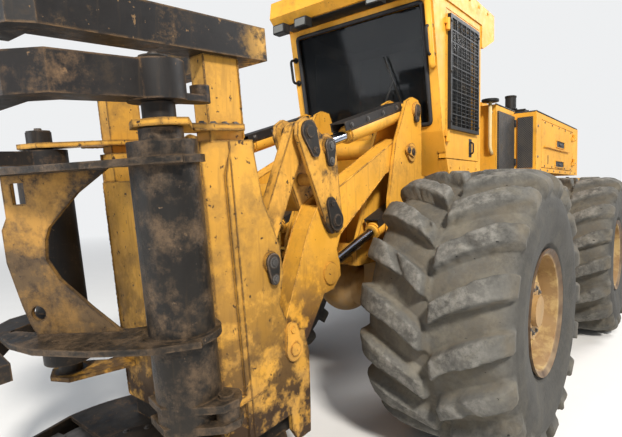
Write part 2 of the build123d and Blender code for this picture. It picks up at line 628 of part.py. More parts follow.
def pin_pair(at, radius, lean, reach, y_low, y_high):
    """Pins through both sides of the linkage, each with a cap inside and a keeper plate outside."""
    pins = []
    for side in (1, -1):
        pin = cross_pin(at, radius, *sorted((side * y_low, side * y_high)))
        pin = pin + cross_pin(at, CAP_R, *sorted((side * (y_low - CAP_THICK), side * y_low)))
        pins.append(pin + keeper(at, lean, reach, CAP_R - 4, side * y_high, side * (y_high + CAP_THICK)))
    return Compound(pins)


rocker_in = rocker_faces[0][0] - PLAY
rocker_out = rocker_faces[1][1] + PLAY
nodes["rocker_pins"] = pin_pair(ROCKER_PIN, PIN_R, 64, 105, rocker_in, rocker_out)
nodes["link_pins"] = pin_pair(LINK_TOP, PIN_R, 244, 105, rocker_in, rocker_out)

links = []
for side in (1, -1):
    low, high = sorted((side * (ARM_Y - LINK_WIDTH / 2), side * (ARM_Y + LINK_WIDTH / 2)))
    link = strap(LINK_TOP, LINK_FOOT, 60, 58, low, high)
    link = link - cross_pin(LINK_TOP, PIN_R + RUN, low - 5, high + 5)
    links.append(link)
nodes["tilt_links"] = Compound(links)

# Felling head, upright about its pin
# (x, z) in the head are measured from the head pin before it leans.
ear_in = arm_in - SIDE_GAP
ear_out = arm_out + SIDE_GAP
HEAD_EAR = 25.0


def lean_head(shape):
    """Place a shape of the upright head at its pin, leaning forward."""
    return Pos(HEAD_PIN[0], 0, HEAD_PIN[1]) * Rot(0, HEAD_LEAN, 0) * shape


def head_point(at):
    """A machine point (X, Z) in the upright head's own coordinates."""
    dx = at[0] - HEAD_PIN[0]
    dz = at[1] - HEAD_PIN[1]
    a = radians(HEAD_LEAN)
    return (dx * cos(a) - dz * sin(a), dx * sin(a) + dz * cos(a))


foot_pin = head_point(LINK_FOOT)
ear_outline = (
    (-100.0, BASE_HIGH), (-118.0, -60.0), (-90.0, 75.0), (20.0, 118.0), (72.0, 253.0), (30.0, 400.0),
    (40.0, 540.0), (128.0, 771.0), (165.0, TOWER_TOP), (290.0, TOWER_TOP), (330.0, 900.0),
    (330.0, BASE_HIGH),
)
outer_half = ear_out + HEAD_EAR
tower_parts = []
for low, high in ((ear_in - HEAD_EAR, ear_in), (ear_out, outer_half)):
    tower_parts += both_sides(side_plate(ear_outline, low, high))
# front wall, bevelled corners, top and bottom of the tower
front_wall = block(TOWER_FRONT - TOWER_WALL, TOWER_FRONT, -outer_half + 60, outer_half - 60, BASE_HIGH, 900)
tower_parts.append(front_wall)
for side in (1, -1):
    bevel = level_plate(((300, side * outer_half), (TOWER_FRONT, side * (outer_half - 65)),
                         (TOWER_FRONT - 25, side * (outer_half - 80)), (280, side * (outer_half - 20))),
                        BASE_HIGH, TOWER_TOP)
    tower_parts.append(bevel)
tower_parts.append(block(160, 300, -outer_half, outer_half, TOWER_TOP - 25, TOWER_TOP))
tower_parts.append(block(60, 90, -ear_in, ear_in, 150, 980))
tower_parts.append(block(40, 330, -outer_half, outer_half, BASE_HIGH, BASE_HIGH + 25))
tower = fused(tower_parts)
# heel of each outer plate, behind the saw housing
for side in (1, -1):
    heel = side_plate(((-85, -490), (-100, BASE_HIGH + 5), (50, BASE_HIGH + 5), (50, -420), (10, -490)),
                      *sorted((side * ear_out, side * outer_half)))
    tower = tower + heel
# closed columns stand between the two ears ahead of the links
for side in (1, -1):
    column = block(250, TOWER_FRONT - 10, *sorted((side * (ear_in - HEAD_EAR), side * (outer_half - 70))),
                   BASE_HIGH, TOWER_TOP)
    tower = tower + column
for side in (1, -1):
    low, high = sorted((side * (ear_in - HEAD_EAR - 5), side * (outer_half + 5)))
    tower = tower - cross_pin((0.0, 0.0), PIN_R + 4 + RUN, low, high)
    for low, high in ((ear_in - HEAD_EAR - CAP_THICK, ear_in), (ear_out, outer_half + CAP_THICK)):
        tower = tower + cross_pin(foot_pin, PIN_R + 10, *sorted((side * low, side * high)))
# shelf that carries the tubes' upper and lower bearings
for z_low, z_high in ((1095.0, 1120.0), (-130.0, -105.0)):
    for side in (1, -1):
        shelf = level_plate(((200, side * 330), (200, side * outer_half), (480, side * outer_half),
                             (TUBE_X - 40, side * (TUBE_Y + 120)), (TUBE_X + 60, side * (TUBE_Y + 100)),
                             (TUBE_X + 110, side * TUBE_Y), (TUBE_X + 60, side * (TUBE_Y - 110)),
                             (TOWER_FRONT, side * 330)), z_low, z_high)
        tower = tower + shelf
# fixed posts on which the tubes turn
for side in (1, -1):
    tower = tower + bar((TUBE_X, side * TUBE_Y, -120), (TUBE_X, side * TUBE_Y, 1180), POST_R)
tower = tower + bar((TUBE_X, TUBE_Y, 1170), (TUBE_X, TUBE_Y, ACC_HIGH + 15), ACC_PIN_R)
for side in (1, -1):
    tower = tower + block(180, 370, *sorted((side * 380, side * 470)), TOWER_TOP - 5, 1410)
nodes["head_tower"] = lean_head(tower)

# pins through the head's ears and the boom's feet
pins = []
for side in (1, -1):
    y_low = ear_in - HEAD_EAR - PLAY
    y_high = outer_half + PLAY
    pin = cross_pin(HEAD_PIN, PIN_R + 4, *sorted((side * y_low, side * y_high)))
    pin = pin + cross_pin(HEAD_PIN, CAP_R + 8, *sorted((side * (y_low - CAP_THICK), side * y_low)))
    pins.append(pin + keeper(HEAD_PIN, 80, 105, CAP_R, side * y_high, side * (y_high + CAP_THICK)))
nodes["head_pins"] = Compound(pins)

# saw housing: a tray round the disc, open to the front, with a horn at each side
housing_top = BASE_HIGH - PLAY
WALL_TOP = housing_top - 120
TRAY_FRONT_X = 1180.0
TRAY_FRONT_HALF = 620.0


def half_disc(radius, z_low, z_high):
    """Rear half of a round plate about the disc's axis."""
    plate = bar((DISC_X, 0, z_low), (DISC_X, 0, z_high), radius)
    return plate - block(DISC_X, DISC_X + radius + 5, -radius - 5, radius + 5, z_low - 5, z_high + 5)


tray_front = level_plate(((DISC_X - 1, -HOUSING_R), (TRAY_FRONT_X, -TRAY_FRONT_HALF), (TRAY_FRONT_X, TRAY_FRONT_HALF),
                          (DISC_X - 1, HOUSING_R)), BASE_LOW, BASE_LOW + HOUSING_WALL)
housing = half_disc(HOUSING_R, BASE_LOW, BASE_LOW + HOUSING_WALL) + tray_front
rim_wall = half_disc(HOUSING_R, BASE_LOW + 5, WALL_TOP) - bar(
    (DISC_X, 0, BASE_LOW), (DISC_X, 0, WALL_TOP + 5), HOUSING_R - HOUSING_WALL)
housing = housing + rim_wall
for side in (1, -1):
    cheek = level_plate(((DISC_X - 1, side * HOUSING_R), (TRAY_FRONT_X, side * TRAY_FRONT_HALF),
                         (TRAY_FRONT_X, side * (TRAY_FRONT_HALF - HOUSING_WALL)),
                         (DISC_X - 1, side * (HOUSING_R - HOUSING_WALL))), BASE_LOW + 5, WALL_TOP)
    horn = level_plate(((760, side * 650), (TRAY_FRONT_X, side * 560), (1290, side * 520), (1300, side * 560),
                        (1200, side * 700), (760, side * 760)), BASE_LOW - 1, BASE_LOW + 60)
    housing = housing + cheek + horn
housing = housing + half_disc(HOUSING_R - 8, WALL_TOP - 20, WALL_TOP + 2)
housing = housing + block(-60, 380, -430, 430, WALL_TOP - 10, housing_top)
housing = housing + bar((DISC_X, 0, WALL_TOP - 5), (DISC_X, 0, WALL_TOP + 80), 190)
housing = housing + bar((DISC_X, 0, DISC_Z - 15), (DISC_X, 0, WALL_TOP + 10), SPINDLE_R)
nodes["saw_housing"] = lean_head(housing)

disc = bar((DISC_X, 0, DISC_Z), (DISC_X, 0, DISC_Z + DISC_THICK), DISC_R - 40)
for n in range(DISC_TEETH):
    a = 360.0 * n / DISC_TEETH
    tooth = Pos(DISC_X, 0, DISC_Z + DISC_THICK / 2) * Rot(0, 0, a) * Pos(DISC_R - 38, 0, 0) * Box(76, 60, DISC_THICK + 10)
    disc = disc + tooth
disc = disc + bar((DISC_X, 0, DISC_Z - 20), (DISC_X, 0, DISC_Z + 40), 120)
disc = disc - bar((DISC_X, 0, DISC_Z - 30), (DISC_X, 0, DISC_Z + 60), SPINDLE_R + RUN)
nodes["saw_disc"] = lean_head(disc)

# guard beam over the head, bent inward at its front end
GUARD_LOW = 1410.0
GUARD_HIGH = 1557.0
beam_plan = ((25, 372), (25, 505), (1010, 505), (1085, 470), (1120, 395), (1120, 250), (1010, 250), (1000, 372))
guard = level_plate(beam_plan, GUARD_LOW + PLAY, GUARD_HIGH)
guard_right = mirror(level_plate(((25, 372), (25, 505), (420, 505), (420, 372)), GUARD_LOW + PLAY, GUARD_HIGH),
                     about=Plane.XZ)
guard = guard + guard_right + block(25, 160, -372, 372, GUARD_LOW + PLAY, GUARD_HIGH)
nodes["head_guard"] = lean_head(guard)


def ring(at, outer, inner, z_low, z_high):
    """Flat ring about an upright axis at (x, y)."""
    return bar((at[0], at[1], z_low), (at[0], at[1], z_high), outer) - bar(
        (at[0], at[1], z_low - 1), (at[0], at[1], z_high + 1), inner)


# accumulator arm above the left tube, turning on the same post
tube_at = (TUBE_X, TUBE_Y)
acc_hub = bar((TUBE_X, TUBE_Y, ACC_LOW + PLAY), (TUBE_X, TUBE_Y, ACC_HIGH), 105)
acc_plan = ((TUBE_X, TUBE_Y - 60), (TUBE_X + 20, TUBE_Y + 62), (1040, TUBE_Y + 40), (1130, 500), (1165, 400),
            (1165, 60), (1040, 60), (1030, 400), (960, 470))
accumulator = acc_hub + level_plate(acc_plan, ACC_LOW + 4, ACC_HIGH - 4)
crank = level_plate(((TUBE_X, TUBE_Y - 60), (TUBE_X, TUBE_Y + 60), (TUBE_X - 190, TUBE_Y + 45),
                     (TUBE_X - 235, TUBE_Y), (TUBE_X - 190, TUBE_Y - 40)), ACC_LOW + 4, ACC_LOW + 30)
accumulator = accumulator + crank + bar((TUBE_X - 190, TUBE_Y, ACC_LOW + 4), (TUBE_X - 190, TUBE_Y, ACC_LOW + 70), 38)
accumulator = accumulator - bar((TUBE_X, TUBE_Y, ACC_LOW - 5), (TUBE_X, TUBE_Y, ACC_HIGH + 5), ACC_PIN_R + RUN)
nodes["accumulator_arm"] = lean_head(accumulator)

# harvest arm: tube, C-shaped web between two plates, crank at the foot
tube_low = TUBE_LOW
arm_tube = ring(tube_at, TUBE_R, POST_R + RUN, tube_low, TUBE_HIGH)
collar = ring(tube_at, 80, POST_R + RUN, TUBE_HIGH, 1090)
PLATE_HEIGHTS = (320.0, 975.0)
PLATE_HALF = 12.0
plate_plan = ((TUBE_X + 20, TUBE_Y + 150), (700, 731), (838, 624), (972, 432), (1074, 227), (1101, 68),
              (1092, -45), (1072, -71), (1030, -60), (1000, 20), (935, 93), (765, 350),
              (TUBE_X - 30, TUBE_Y - 100))
harvest = arm_tube + collar
for z in PLATE_HEIGHTS:
    harvest = harvest + ring(tube_at, TUBE_R + 22, POST_R + 10, z - 14, z + 14)
    harvest = harvest + (level_plate(plate_plan, z - PLATE_HALF, z + PLATE_HALF) - bar(
        (TUBE_X, TUBE_Y, z - 20), (TUBE_X, TUBE_Y, z + 20), POST_R + 20))
# web between the plates, cut away in a C towards the tube; u runs along it from the tube
WEB_START = Vector(700, 480, 0)
WEB_RUN = Vector(280, -400, 0).normalized()
WEB_THICK = 20.0
web_low = PLATE_HEIGHTS[0] + 8
web_high = PLATE_HEIGHTS[1] - 8
web_outline = (                     # (u, z)
    (124, web_high), (260, 879), (390, 755), (411, 706), (419, 630), (376, 551), (260, 434), (145, web_low),
    (497, web_low), (520, 378), (543, 454), (581, 626), (581, 754), (556, 800), (556, web_high),
)
web_slot = ((466, 850), (520, 850), (520, 930), (466, 930))


def on_web(u, z):
    """Point of the web's plane."""
    return tuple(WEB_START + WEB_RUN * u + Vector(0, 0, z))


web_across = (-WEB_RUN.Y, WEB_RUN.X, 0)
web = extrude(make_face(Polyline(*[on_web(u, z) for u, z in web_outline], close=True)),
              amount=WEB_THICK, dir=web_across)
web_cut = extrude(make_face(Polyline(*[on_web(u, z) for u, z in web_slot], close=True)),
                  amount=WEB_THICK, dir=web_across)
WEB_HOLE = (480, 420)
through = Vector(*web_across) * (WEB_THICK + 5)
hole = bar(tuple(Vector(*on_web(*WEB_HOLE)) - through), tuple(Vector(*on_web(*WEB_HOLE)) + through), 30)
harvest = harvest + (web - web_cut - hole)
# double crank at the foot, with the eye of its ram between the plates
CRANK_EYE = (600.0, 712.0)
crank_plan = ((769, 446), (795, 577), (690, 712), (650, 755), (586, 764), (540, 730), (530, 700), (569, 603),
              (600, 470))
for low, high in ((-35.0, -5.0), (45.0, 75.0)):
    crank = level_plate(crank_plan, low, high)
    harvest = harvest + (crank - bar((TUBE_X, TUBE_Y, low - 5), (TUBE_X, TUBE_Y, high + 5), POST_R + 20))
harvest = harvest + bar((CRANK_EYE[0], CRANK_EYE[1], -50), (CRANK_EYE[0], CRANK_EYE[1], 90), 30)
harvest = harvest + bar((CRANK_EYE[0], CRANK_EYE[1], -5), (CRANK_EYE[0], CRANK_EYE[1], 45), 46)
nodes["harvest_arm"] = lean_head(harvest)

# second arm on the right tube, passing above the left arm's top plate
right_at = (TUBE_X, -TUBE_Y)
right_tube = ring(right_at, TUBE_R, POST_R + RUN, tube_low, 1085)
right_plan = ((TUBE_X - 20, -TUBE_Y - 60), (TUBE_X + 40, -TUBE_Y - 62), (900, -TUBE_Y - 40), (1060, -470),
              (1190, -250), (1215, 60), (1100, 60), (1080, -200), (960, -380), (TUBE_X, -TUBE_Y + 70))
right_arm = right_tube
for low, high in ((1010.0, 1080.0), (180.0, 250.0)):
    right_arm = right_arm + (level_plate(right_plan, low, high) - bar(
        (TUBE_X, -TUBE_Y, low - 5), (TUBE_X, -TUBE_Y, high + 5), POST_R + 20))
nodes["right_arm"] = lean_head(right_arm)

# Rear frame
rear_rail = (
    (REAR_FRONT_X, 560.0), (REAR_FRONT_X, REAR_DECK_Z - 20), (REAR_END_X + 200, REAR_DECK_Z - 20),
    (REAR_END_X + 200, 860.0), (-WHEELBASE - 400, 760.0), (-WHEELBASE - 260, FRAME_OVER_AXLE),
    (-WHEELBASE + 260, FRAME_OVER_AXLE), (-WHEELBASE + 420, 560.0),
)
rear_parts = both_sides(side_plate(rear_rail, REAR_RAIL_IN, REAR_RAIL_IN + REAR_RAIL_PLATE))
rear_parts.append(block(REAR_FRONT_X, REAR_FRONT_X + 30, -REAR_RAIL_IN - 30, REAR_RAIL_IN + 30, 560,
                        REAR_DECK_Z - 20))
rear_parts.append(block(REAR_END_X + 200, REAR_FRONT_X + 30, -REAR_DECK_HALF, REAR_DECK_HALF,
                        REAR_DECK_Z - 20, REAR_DECK_Z))
rear_parts.append(block(REAR_END_X, HOOD_REAR_X - PLAY, -HOOD_HALF, HOOD_HALF, 760, HOOD_LOW_Z - 30))
rear = fused(rear_parts)
for z in HINGE_HEIGHTS:
    rear = rear + hinge_ears(REAR_FRONT_X + 10, JOINT_X, 190, z - TONGUE_THICK / 2, z + TONGUE_THICK / 2)
for z in HINGE_HEIGHTS:
    rear = rear - bar((JOINT_X, 0, z - 60), (JOINT_X, 0, z + 60), HINGE_PIN_R + RUN)
rear = rear - block(-1800, -1700, -90, 90, AXLE_Z - 60, AXLE_Z + 110)
base_x = JOINT_X + STEER_BASE[0]
for side in (1, -1):
    for low, high in ((STEER_Z + CYL_EYE_WIDTH / 2 + EYE_GAP, STEER_Z + CYL_EYE_WIDTH / 2 + EYE_GAP + 25),
                      (STEER_Z - CYL_EYE_WIDTH / 2 - EYE_GAP - 25, STEER_Z - CYL_EYE_WIDTH / 2 - EYE_GAP)):
        y = side * STEER_BASE[1]
        ear = level_plate(((base_x - 160, side * (REAR_RAIL_IN + 5)), (base_x + 75, side * (REAR_RAIL_IN + 5)),
                           (base_x + 45, y + side * 45), (base_x, y + side * 70), (base_x - 60, y + side * 40)),
                          low, high)
        rear = rear + ear
    rear = rear + bar((base_x, side * STEER_BASE[1], STEER_Z - CYL_EYE_WIDTH / 2 - EYE_GAP - 33),
                      (base_x, side * STEER_BASE[1], STEER_Z + CYL_EYE_WIDTH / 2 + EYE_GAP + 33), PIN_R)
# tie-down lugs under the rear end
for side in (1, -1):
    low, high = sorted((side * REAR_LUG_Y, side * (REAR_LUG_Y + LUG_PLATE)))
    lug = side_plate(((REAR_LUG_X - 75, 770), (REAR_LUG_X - 45, REAR_LUG_Z), (REAR_LUG_X + 45, REAR_LUG_Z),
                      (REAR_LUG_X + 75, 770)), low, high)
    lug = lug + cross_pin((REAR_LUG_X, REAR_LUG_Z), 45, low, high)
    rear = rear + (lug - cross_pin((REAR_LUG_X, REAR_LUG_Z), LUG_BORE_R, low - 5, high + 5))
nodes["rear_chassis"] = rear

# Rear enclosure
deck_top = REAR_DECK_Z + PLAY
cooler = block(HOOD_STEP_X - 30, COOLER_FRONT_X, -COOLER_HALF, COOLER_HALF, deck_top, COOLER_TOP_Z)
cooler = cooler - block(HOOD_STEP_X - 60, COOLER_FRONT_X - HOOD_WALL, -COOLER_HALF + HOOD_WALL,
                        COOLER_HALF - HOOD_WALL, deck_top - 10, COOLER_TOP_Z - HOOD_WALL)
hood = block(HOOD_REAR_X, HOOD_STEP_X, -HOOD_HALF, HOOD_HALF, HOOD_LOW_Z, HOOD_TOP_Z)
hood = hood + block(HOOD_REAR_X, HOOD_STEP_X, -REAR_DECK_HALF + 20, REAR_DECK_HALF - 20, deck_top, HOOD_LOW_Z)
hood = hood - block(HOOD_REAR_X - 60, HOOD_STEP_X - HOOD_WALL, -HOOD_HALF + HOOD_WALL, HOOD_HALF - HOOD_WALL,
                    HOOD_LOW_Z + HOOD_WALL, HOOD_TOP_Z - HOOD_WALL)
hood = hood - block(HOOD_REAR_X - 60, HOOD_STEP_X - HOOD_WALL, -REAR_DECK_HALF + 20 + HOOD_WALL,
                    REAR_DECK_HALF - 20 - HOOD_WALL, deck_top - 60, HOOD_TOP_Z - HOOD_WALL)
hood = hood + cooler
hood = hood - block(HOOD_STEP_X - 60, HOOD_STEP_X + 5, -COOLER_HALF + HOOD_WALL, COOLER_HALF - HOOD_WALL,
                    deck_top - 60, COOLER_TOP_Z - HOOD_WALL - 40)
SIDE_DOOR = (-3720.0, -2240.0, HOOD_LOW_Z + 45, HOOD_TOP_Z - 60)   # X from and to, Z from and to
for side in (1, -1):
    low, high = sorted((side * (HOOD_HALF - 60), side * (HOOD_HALF + 5)))
    hood = hood - block(SIDE_DOOR[0], SIDE_DOOR[1], low, high, SIDE_DOOR[2], SIDE_DOOR[3])
hood = hood + block(HOOD_STEP_X - 700, HOOD_STEP_X + 80, -330, 330, HOOD_TOP_Z - 20, HOOD_TOP_Z + 140)
ENGINE_HINGE_Z = (SIDE_DOOR[2] + 110, SIDE_DOOR[3] - 70)
engine_hinges = {1: [], -1: []}
for side in (1, -1):
    for z in ENGINE_HINGE_Z:
        face_y = side * (HOOD_HALF - 3)
        fixed, moving = door_hinge((SIDE_DOOR[0], side * (HOOD_HALF + HINGE_OUT)), z,
                                   (SIDE_DOOR[0] - LEAF, face_y), (SIDE_DOOR[0] + LEAF, face_y))
        hood = hood + fixed
        engine_hinges[side].append(moving)
rear_hinges = []
for z in ENGINE_HINGE_Z:
    fixed, moving = door_hinge((HOOD_REAR_X - 1, -HOOD_HALF - HINGE_OUT), z,
                               (HOOD_REAR_X + LEAF, -HOOD_HALF + 3), (HOOD_REAR_X - 50, -HOOD_HALF + 3))
    hood = hood + fixed
    rear_hinges.append(moving)
nodes["hood"] = hood

for side, name in ((1, "left"), (-1, "right")):
    low, high = sorted((side * (HOOD_HALF - HOOD_WALL), side * HOOD_HALF))
    panel = block(SIDE_DOOR[0] + DOOR_GAP, SIDE_DOOR[1] - DOOR_GAP, low, high,
                  SIDE_DOOR[2] + DOOR_GAP, SIDE_DOOR[3] - DOOR_GAP)
    nodes["engine_door_" + name] = fused([panel] + engine_hinges[side])
rear_door = block(HOOD_REAR_X - 2 - 60, HOOD_REAR_X - 2, -HOOD_HALF, HOOD_HALF, HOOD_LOW_Z, HOOD_TOP_Z)
nodes["rear_door"] = fused([rear_door] + rear_hinges)

nodes["engine_block"] = block(-3500, -2350, -300, 300, deck_top, 2120)
grilles = []
for side in (1, -1):
    low, high = sorted((side * (COOLER_HALF + PLAY), side * (COOLER_HALF + 18)))
    grilles.append(block(HOOD_STEP_X + 30, COOLER_FRONT_X - 30, low, high, 1720, 2250))
    low, high = sorted((side * (COOLER_HALF + 40), side * (HOOD_HALF - 30)))
    grilles.append(block(HOOD_STEP_X + PLAY, HOOD_STEP_X + 18, low, high, HOOD_LOW_Z + 40, HOOD_TOP_Z - 50))
nodes["cooling_grilles"] = Compound(grilles)
muffler = block(-3150, -2780, 160, 520, HOOD_TOP_Z + PLAY, HOOD_TOP_Z + 150)
muffler = muffler + bar((-2860, 340, HOOD_TOP_Z + 140), (-2860, 340, HOOD_TOP_Z + 330), 60)
nodes["exhaust"] = muffler

# Cab
cab_outer = (
    (CAB_REAR_X, CAB_FLOOR_Z), CAB_SILL, CAB_KNEE, CAB_BROW, (CAB_REAR_X, CAB_TOP_Z),
)
cab_inner = (
    (CAB_REAR_X + CAB_WALL, CAB_FLOOR_Z + CAB_WALL), (CAB_SILL[0] - CAB_WALL * 0.8, CAB_FLOOR_Z + CAB_WALL),
    (CAB_KNEE[0] - CAB_WALL, CAB_KNEE[1]), (CAB_BROW[0] - CAB_WALL, CAB_TOP_Z + 10), (CAB_REAR_X + CAB_WALL, CAB_TOP_Z + 10),
)
cab = side_plate(cab_outer, -CAB_HALF, CAB_HALF) - side_plate(cab_inner, -CAB_HALF + CAB_WALL, CAB_HALF - CAB_WALL)
# windscreen, rear window, door opening and right window
screen = between(CAB_KNEE, CAB_BROW, 0.06) + between(CAB_KNEE, CAB_BROW, 0.94)
cab = cab - side_plate(((screen[0] - 120, screen[1]), (screen[0] + 90, screen[1]),
                        (screen[2] + 90, screen[3]), (screen[2] - 120, screen[3])), -CAB_HALF + 80, CAB_HALF - 80)
REAR_WINDOW = (CAB_HALF - 130, 2250.0, CAB_TOP_Z - 80)             # half width, Z from and to
cab = cab - block(CAB_REAR_X - 10, CAB_REAR_X + CAB_WALL + 10, -REAR_WINDOW[0], REAR_WINDOW[0],
                  REAR_WINDOW[1], REAR_WINDOW[2])
cab = cab - block(DOOR_REAR_X, DOOR_FRONT_X, CAB_HALF - CAB_WALL - 10, CAB_HALF + 10, DOOR_LOW_Z, DOOR_HIGH_Z)
WINDOW = (-910.0, -400.0, 2000.0, CAB_TOP_Z - 110)                 # X from and to, Z from and to
cab = cab - block(WINDOW[0], WINDOW[1], -CAB_HALF - 10, -CAB_HALF + CAB_WALL + 10, WINDOW[2], WINDOW[3])
CAB_HINGE_Z = (DOOR_LOW_Z + 160, DOOR_HIGH_Z - 120)
cab_hinges = []
for z in CAB_HINGE_Z:
    fixed, moving = door_hinge((DOOR_FRONT_X, CAB_HALF + HINGE_OUT), z,
                               (DOOR_FRONT_X + 28, CAB_HALF - 3), (DOOR_FRONT_X - 28, CAB_HALF - 3))
    cab = cab + fixed
    cab_hinges.append(moving)
nodes["cab_shell"] = cab

roof_front = CAB_BROW[0] + ROOF_OVERHANG_FRONT
roof_rear = CAB_REAR_X - ROOF_OVERHANG_REAR
roof_low = CAB_TOP_Z + PLAY
roof = side_plate(((CAB_REAR_X, roof_low), (roof_front - 60, roof_low), (roof_front, roof_low + 60),
                   (roof_front - 20, roof_low + ROOF_THICK), (roof_rear, roof_low + ROOF_THICK - 40),
                   (roof_rear, roof_low - 60), (CAB_REAR_X - 40, roof_low - 180), (CAB_REAR_X - PLAY, roof_low - 180),
                   (CAB_REAR_X - PLAY, roof_low)), -CAB_HALF - 10, CAB_HALF + 10)
nodes["cab_roof"] = roof

door = block(DOOR_REAR_X + DOOR_GAP, DOOR_FRONT_X - DOOR_GAP, CAB_HALF - CAB_WALL, CAB_HALF, DOOR_LOW_Z + DOOR_GAP,
             DOOR_HIGH_Z - DOOR_GAP)
door = door - block(WINDOW[0], WINDOW[1], CAB_HALF - CAB_WALL - 10, CAB_HALF + 10, WINDOW[2], WINDOW[3])
nodes["cab_door"] = fused([door] + cab_hinges)
nodes["door_glass"] = block(WINDOW[0] + PLAY, WINDOW[1] - PLAY, CAB_HALF - CAB_WALL / 2 - GLASS, CAB_HALF - CAB_WALL / 2,
                            WINDOW[2] + PLAY, WINDOW[3] - PLAY)

lean = atan2(CAB_BROW[1] - CAB_KNEE[1], CAB_BROW[0] - CAB_KNEE[0])
inset = (-sin(lean) * 20, cos(lean) * 20)
pane_low = between(CAB_KNEE, CAB_BROW, 0.075)
pane_high = between(CAB_KNEE, CAB_BROW, 0.925)
panes = [side_plate(((pane_low[0] + inset[0], pane_low[1] + inset[1]),
                     (pane_low[0] + inset[0] * 1.4, pane_low[1] + inset[1] * 1.4),
                     (pane_high[0] + inset[0] * 1.4, pane_high[1] + inset[1] * 1.4),
                     (pane_high[0] + inset[0], pane_high[1] + inset[1])), -CAB_HALF + 80 + PLAY, CAB_HALF - 80 - PLAY)]
panes.append(block(CAB_REAR_X + 24, CAB_REAR_X + 24 + GLASS, -REAR_WINDOW[0] + PLAY, REAR_WINDOW[0] - PLAY,
                   REAR_WINDOW[1] + PLAY, REAR_WINDOW[2] - PLAY))
panes.append(block(WINDOW[0] + PLAY, WINDOW[1] - PLAY, -CAB_HALF + CAB_WALL / 2, -CAB_HALF + CAB_WALL / 2 + GLASS,
                   WINDOW[2] + PLAY, WINDOW[3] - PLAY))
nodes["cab_glass"] = Compound(panes)

floor_z = CAB_FLOOR_Z + CAB_WALL + PLAY
seat = block(-900, -520, -230, 230, floor_z, floor_z + 330)
back_top = floor_z + (CAB_TOP_Z - floor_z) * 0.83
seat = seat + side_plate(((-900, floor_z + 300), (-800, floor_z + 300), (-860, back_top), (-930, back_top)),
                         -210, 210)
for side in (1, -1):
    low, high = sorted((side * 225, side * 400))
    seat = seat + block(-880, -480, low, high, floor_z, floor_z + 520)
nodes["operator_seat"] = seat



def window_guard(side):
    """Frame of flat bars over a side window, with the main bars of its mesh."""
    low, high = sorted((side * (CAB_HALF + PLAY), side * (CAB_HALF + GUARD_DEPTH)))
    inner = sorted((side * (CAB_HALF + GUARD_DEPTH - 10), side * (CAB_HALF + GUARD_DEPTH)))
    edge = GUARD_EDGE
    frame_bars = block(WINDOW[0] - edge, WINDOW[1] + edge, low, high, WINDOW[2] - edge, WINDOW[3] + edge)
    frame_bars = frame_bars - block(WINDOW[0] + 2, WINDOW[1] - 2, low - 5, high + 5, WINDOW[2] + 2, WINDOW[3] - 2)
    for n in range(1, GUARD_BARS_ACROSS):
        x = WINDOW[0] + (WINDOW[1] - WINDOW[0]) * n / GUARD_BARS_ACROSS
        frame_bars = frame_bars + block(x - 4, x + 4, inner[0], inner[1], WINDOW[2], WINDOW[3])
    for n in range(1, GUARD_BARS_UP):
        z = WINDOW[2] + (WINDOW[3] - WINDOW[2]) * n / GUARD_BARS_UP
        frame_bars = frame_bars + block(WINDOW[0], WINDOW[1], inner[0], inner[1], z - 4, z + 4)
    return frame_bars


nodes["cab_guards"] = window_guard(-1)
nodes["door_guard"] = window_guard(1)

lamps = []
for y in (-560.0, -330.0, 330.0, 560.0):
    lamps.append(block(roof_front - 70, roof_front + 10, y - 60, y + 60, roof_low - 75, roof_low - PLAY))
nodes["work_lamps"] = Compound(lamps)

# Write every node
boxes = [shape.bounding_box() for shape in nodes.values()]
front_end = max(box.max.X for box in boxes)
rear_end = min(box.min.X for box in boxes)
shift = Pos(-(front_end + rear_end) / 2, 0, 0)
os.makedirs("parts", exist_ok=True)
for name, shape in nodes.items():
    export_step(shift * shape, "parts/" + name + ".step")
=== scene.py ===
from math import cos, hypot, pi, radians, sin

import bmesh
import bpy
from mathutils import Matrix, Vector, noise


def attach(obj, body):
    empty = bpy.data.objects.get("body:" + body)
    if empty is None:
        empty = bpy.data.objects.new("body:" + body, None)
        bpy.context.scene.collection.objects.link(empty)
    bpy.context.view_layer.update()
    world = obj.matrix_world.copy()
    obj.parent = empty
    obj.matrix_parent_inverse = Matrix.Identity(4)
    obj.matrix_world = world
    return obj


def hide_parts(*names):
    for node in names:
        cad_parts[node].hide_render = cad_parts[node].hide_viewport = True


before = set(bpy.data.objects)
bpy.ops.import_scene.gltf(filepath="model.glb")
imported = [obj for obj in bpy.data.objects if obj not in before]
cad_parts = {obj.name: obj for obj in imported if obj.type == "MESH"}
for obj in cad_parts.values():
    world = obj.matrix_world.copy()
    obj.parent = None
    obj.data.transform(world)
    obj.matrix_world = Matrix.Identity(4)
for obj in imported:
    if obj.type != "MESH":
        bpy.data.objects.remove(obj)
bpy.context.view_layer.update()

# The part's own sizes, in metres. X is counted from the front axle and Z from the ground.
SHIFT = 0.894248  # front axle's place along the frame's X
AXLE_Z = 0.826
WHEELBASE = 2.925
TRACK_Y = 1.041  # middle of a tyre from the machine's middle
TYRE_R = 0.826
TYRE_HALF = 0.410
RIM_R = 0.340
BEAD_HALF = 0.345
CAB_HALF = 0.650
HOOD_HALF = 0.830
HOOD_TOP = 2.290
HOOD_STEP_X = -2.045  # strips at the front of the hood's wide part

# Boom linkage: (X, Z) of its pins
BOOM_PIN = (-0.084, 1.799)
TILT_BASE = (-0.163, 2.102)
TILT_EYE = (0.854, 1.778)
LIFT_BASE = (-0.330, 1.490)
LIFT_EYE = (0.806, 1.071)
LINK_FOOT = (1.309, 1.200)
ARM_Y = 0.416  # middle of each boom arm
KEEPER_SEAT = 0.519  # where the keepers of rockers and links stand

# Felling head, measured from its pin before it leans: out, across and up
HEAD_LEAN = radians(5.0)
TUBE_OUT = 0.66
TUBE_ACROSS = 0.56


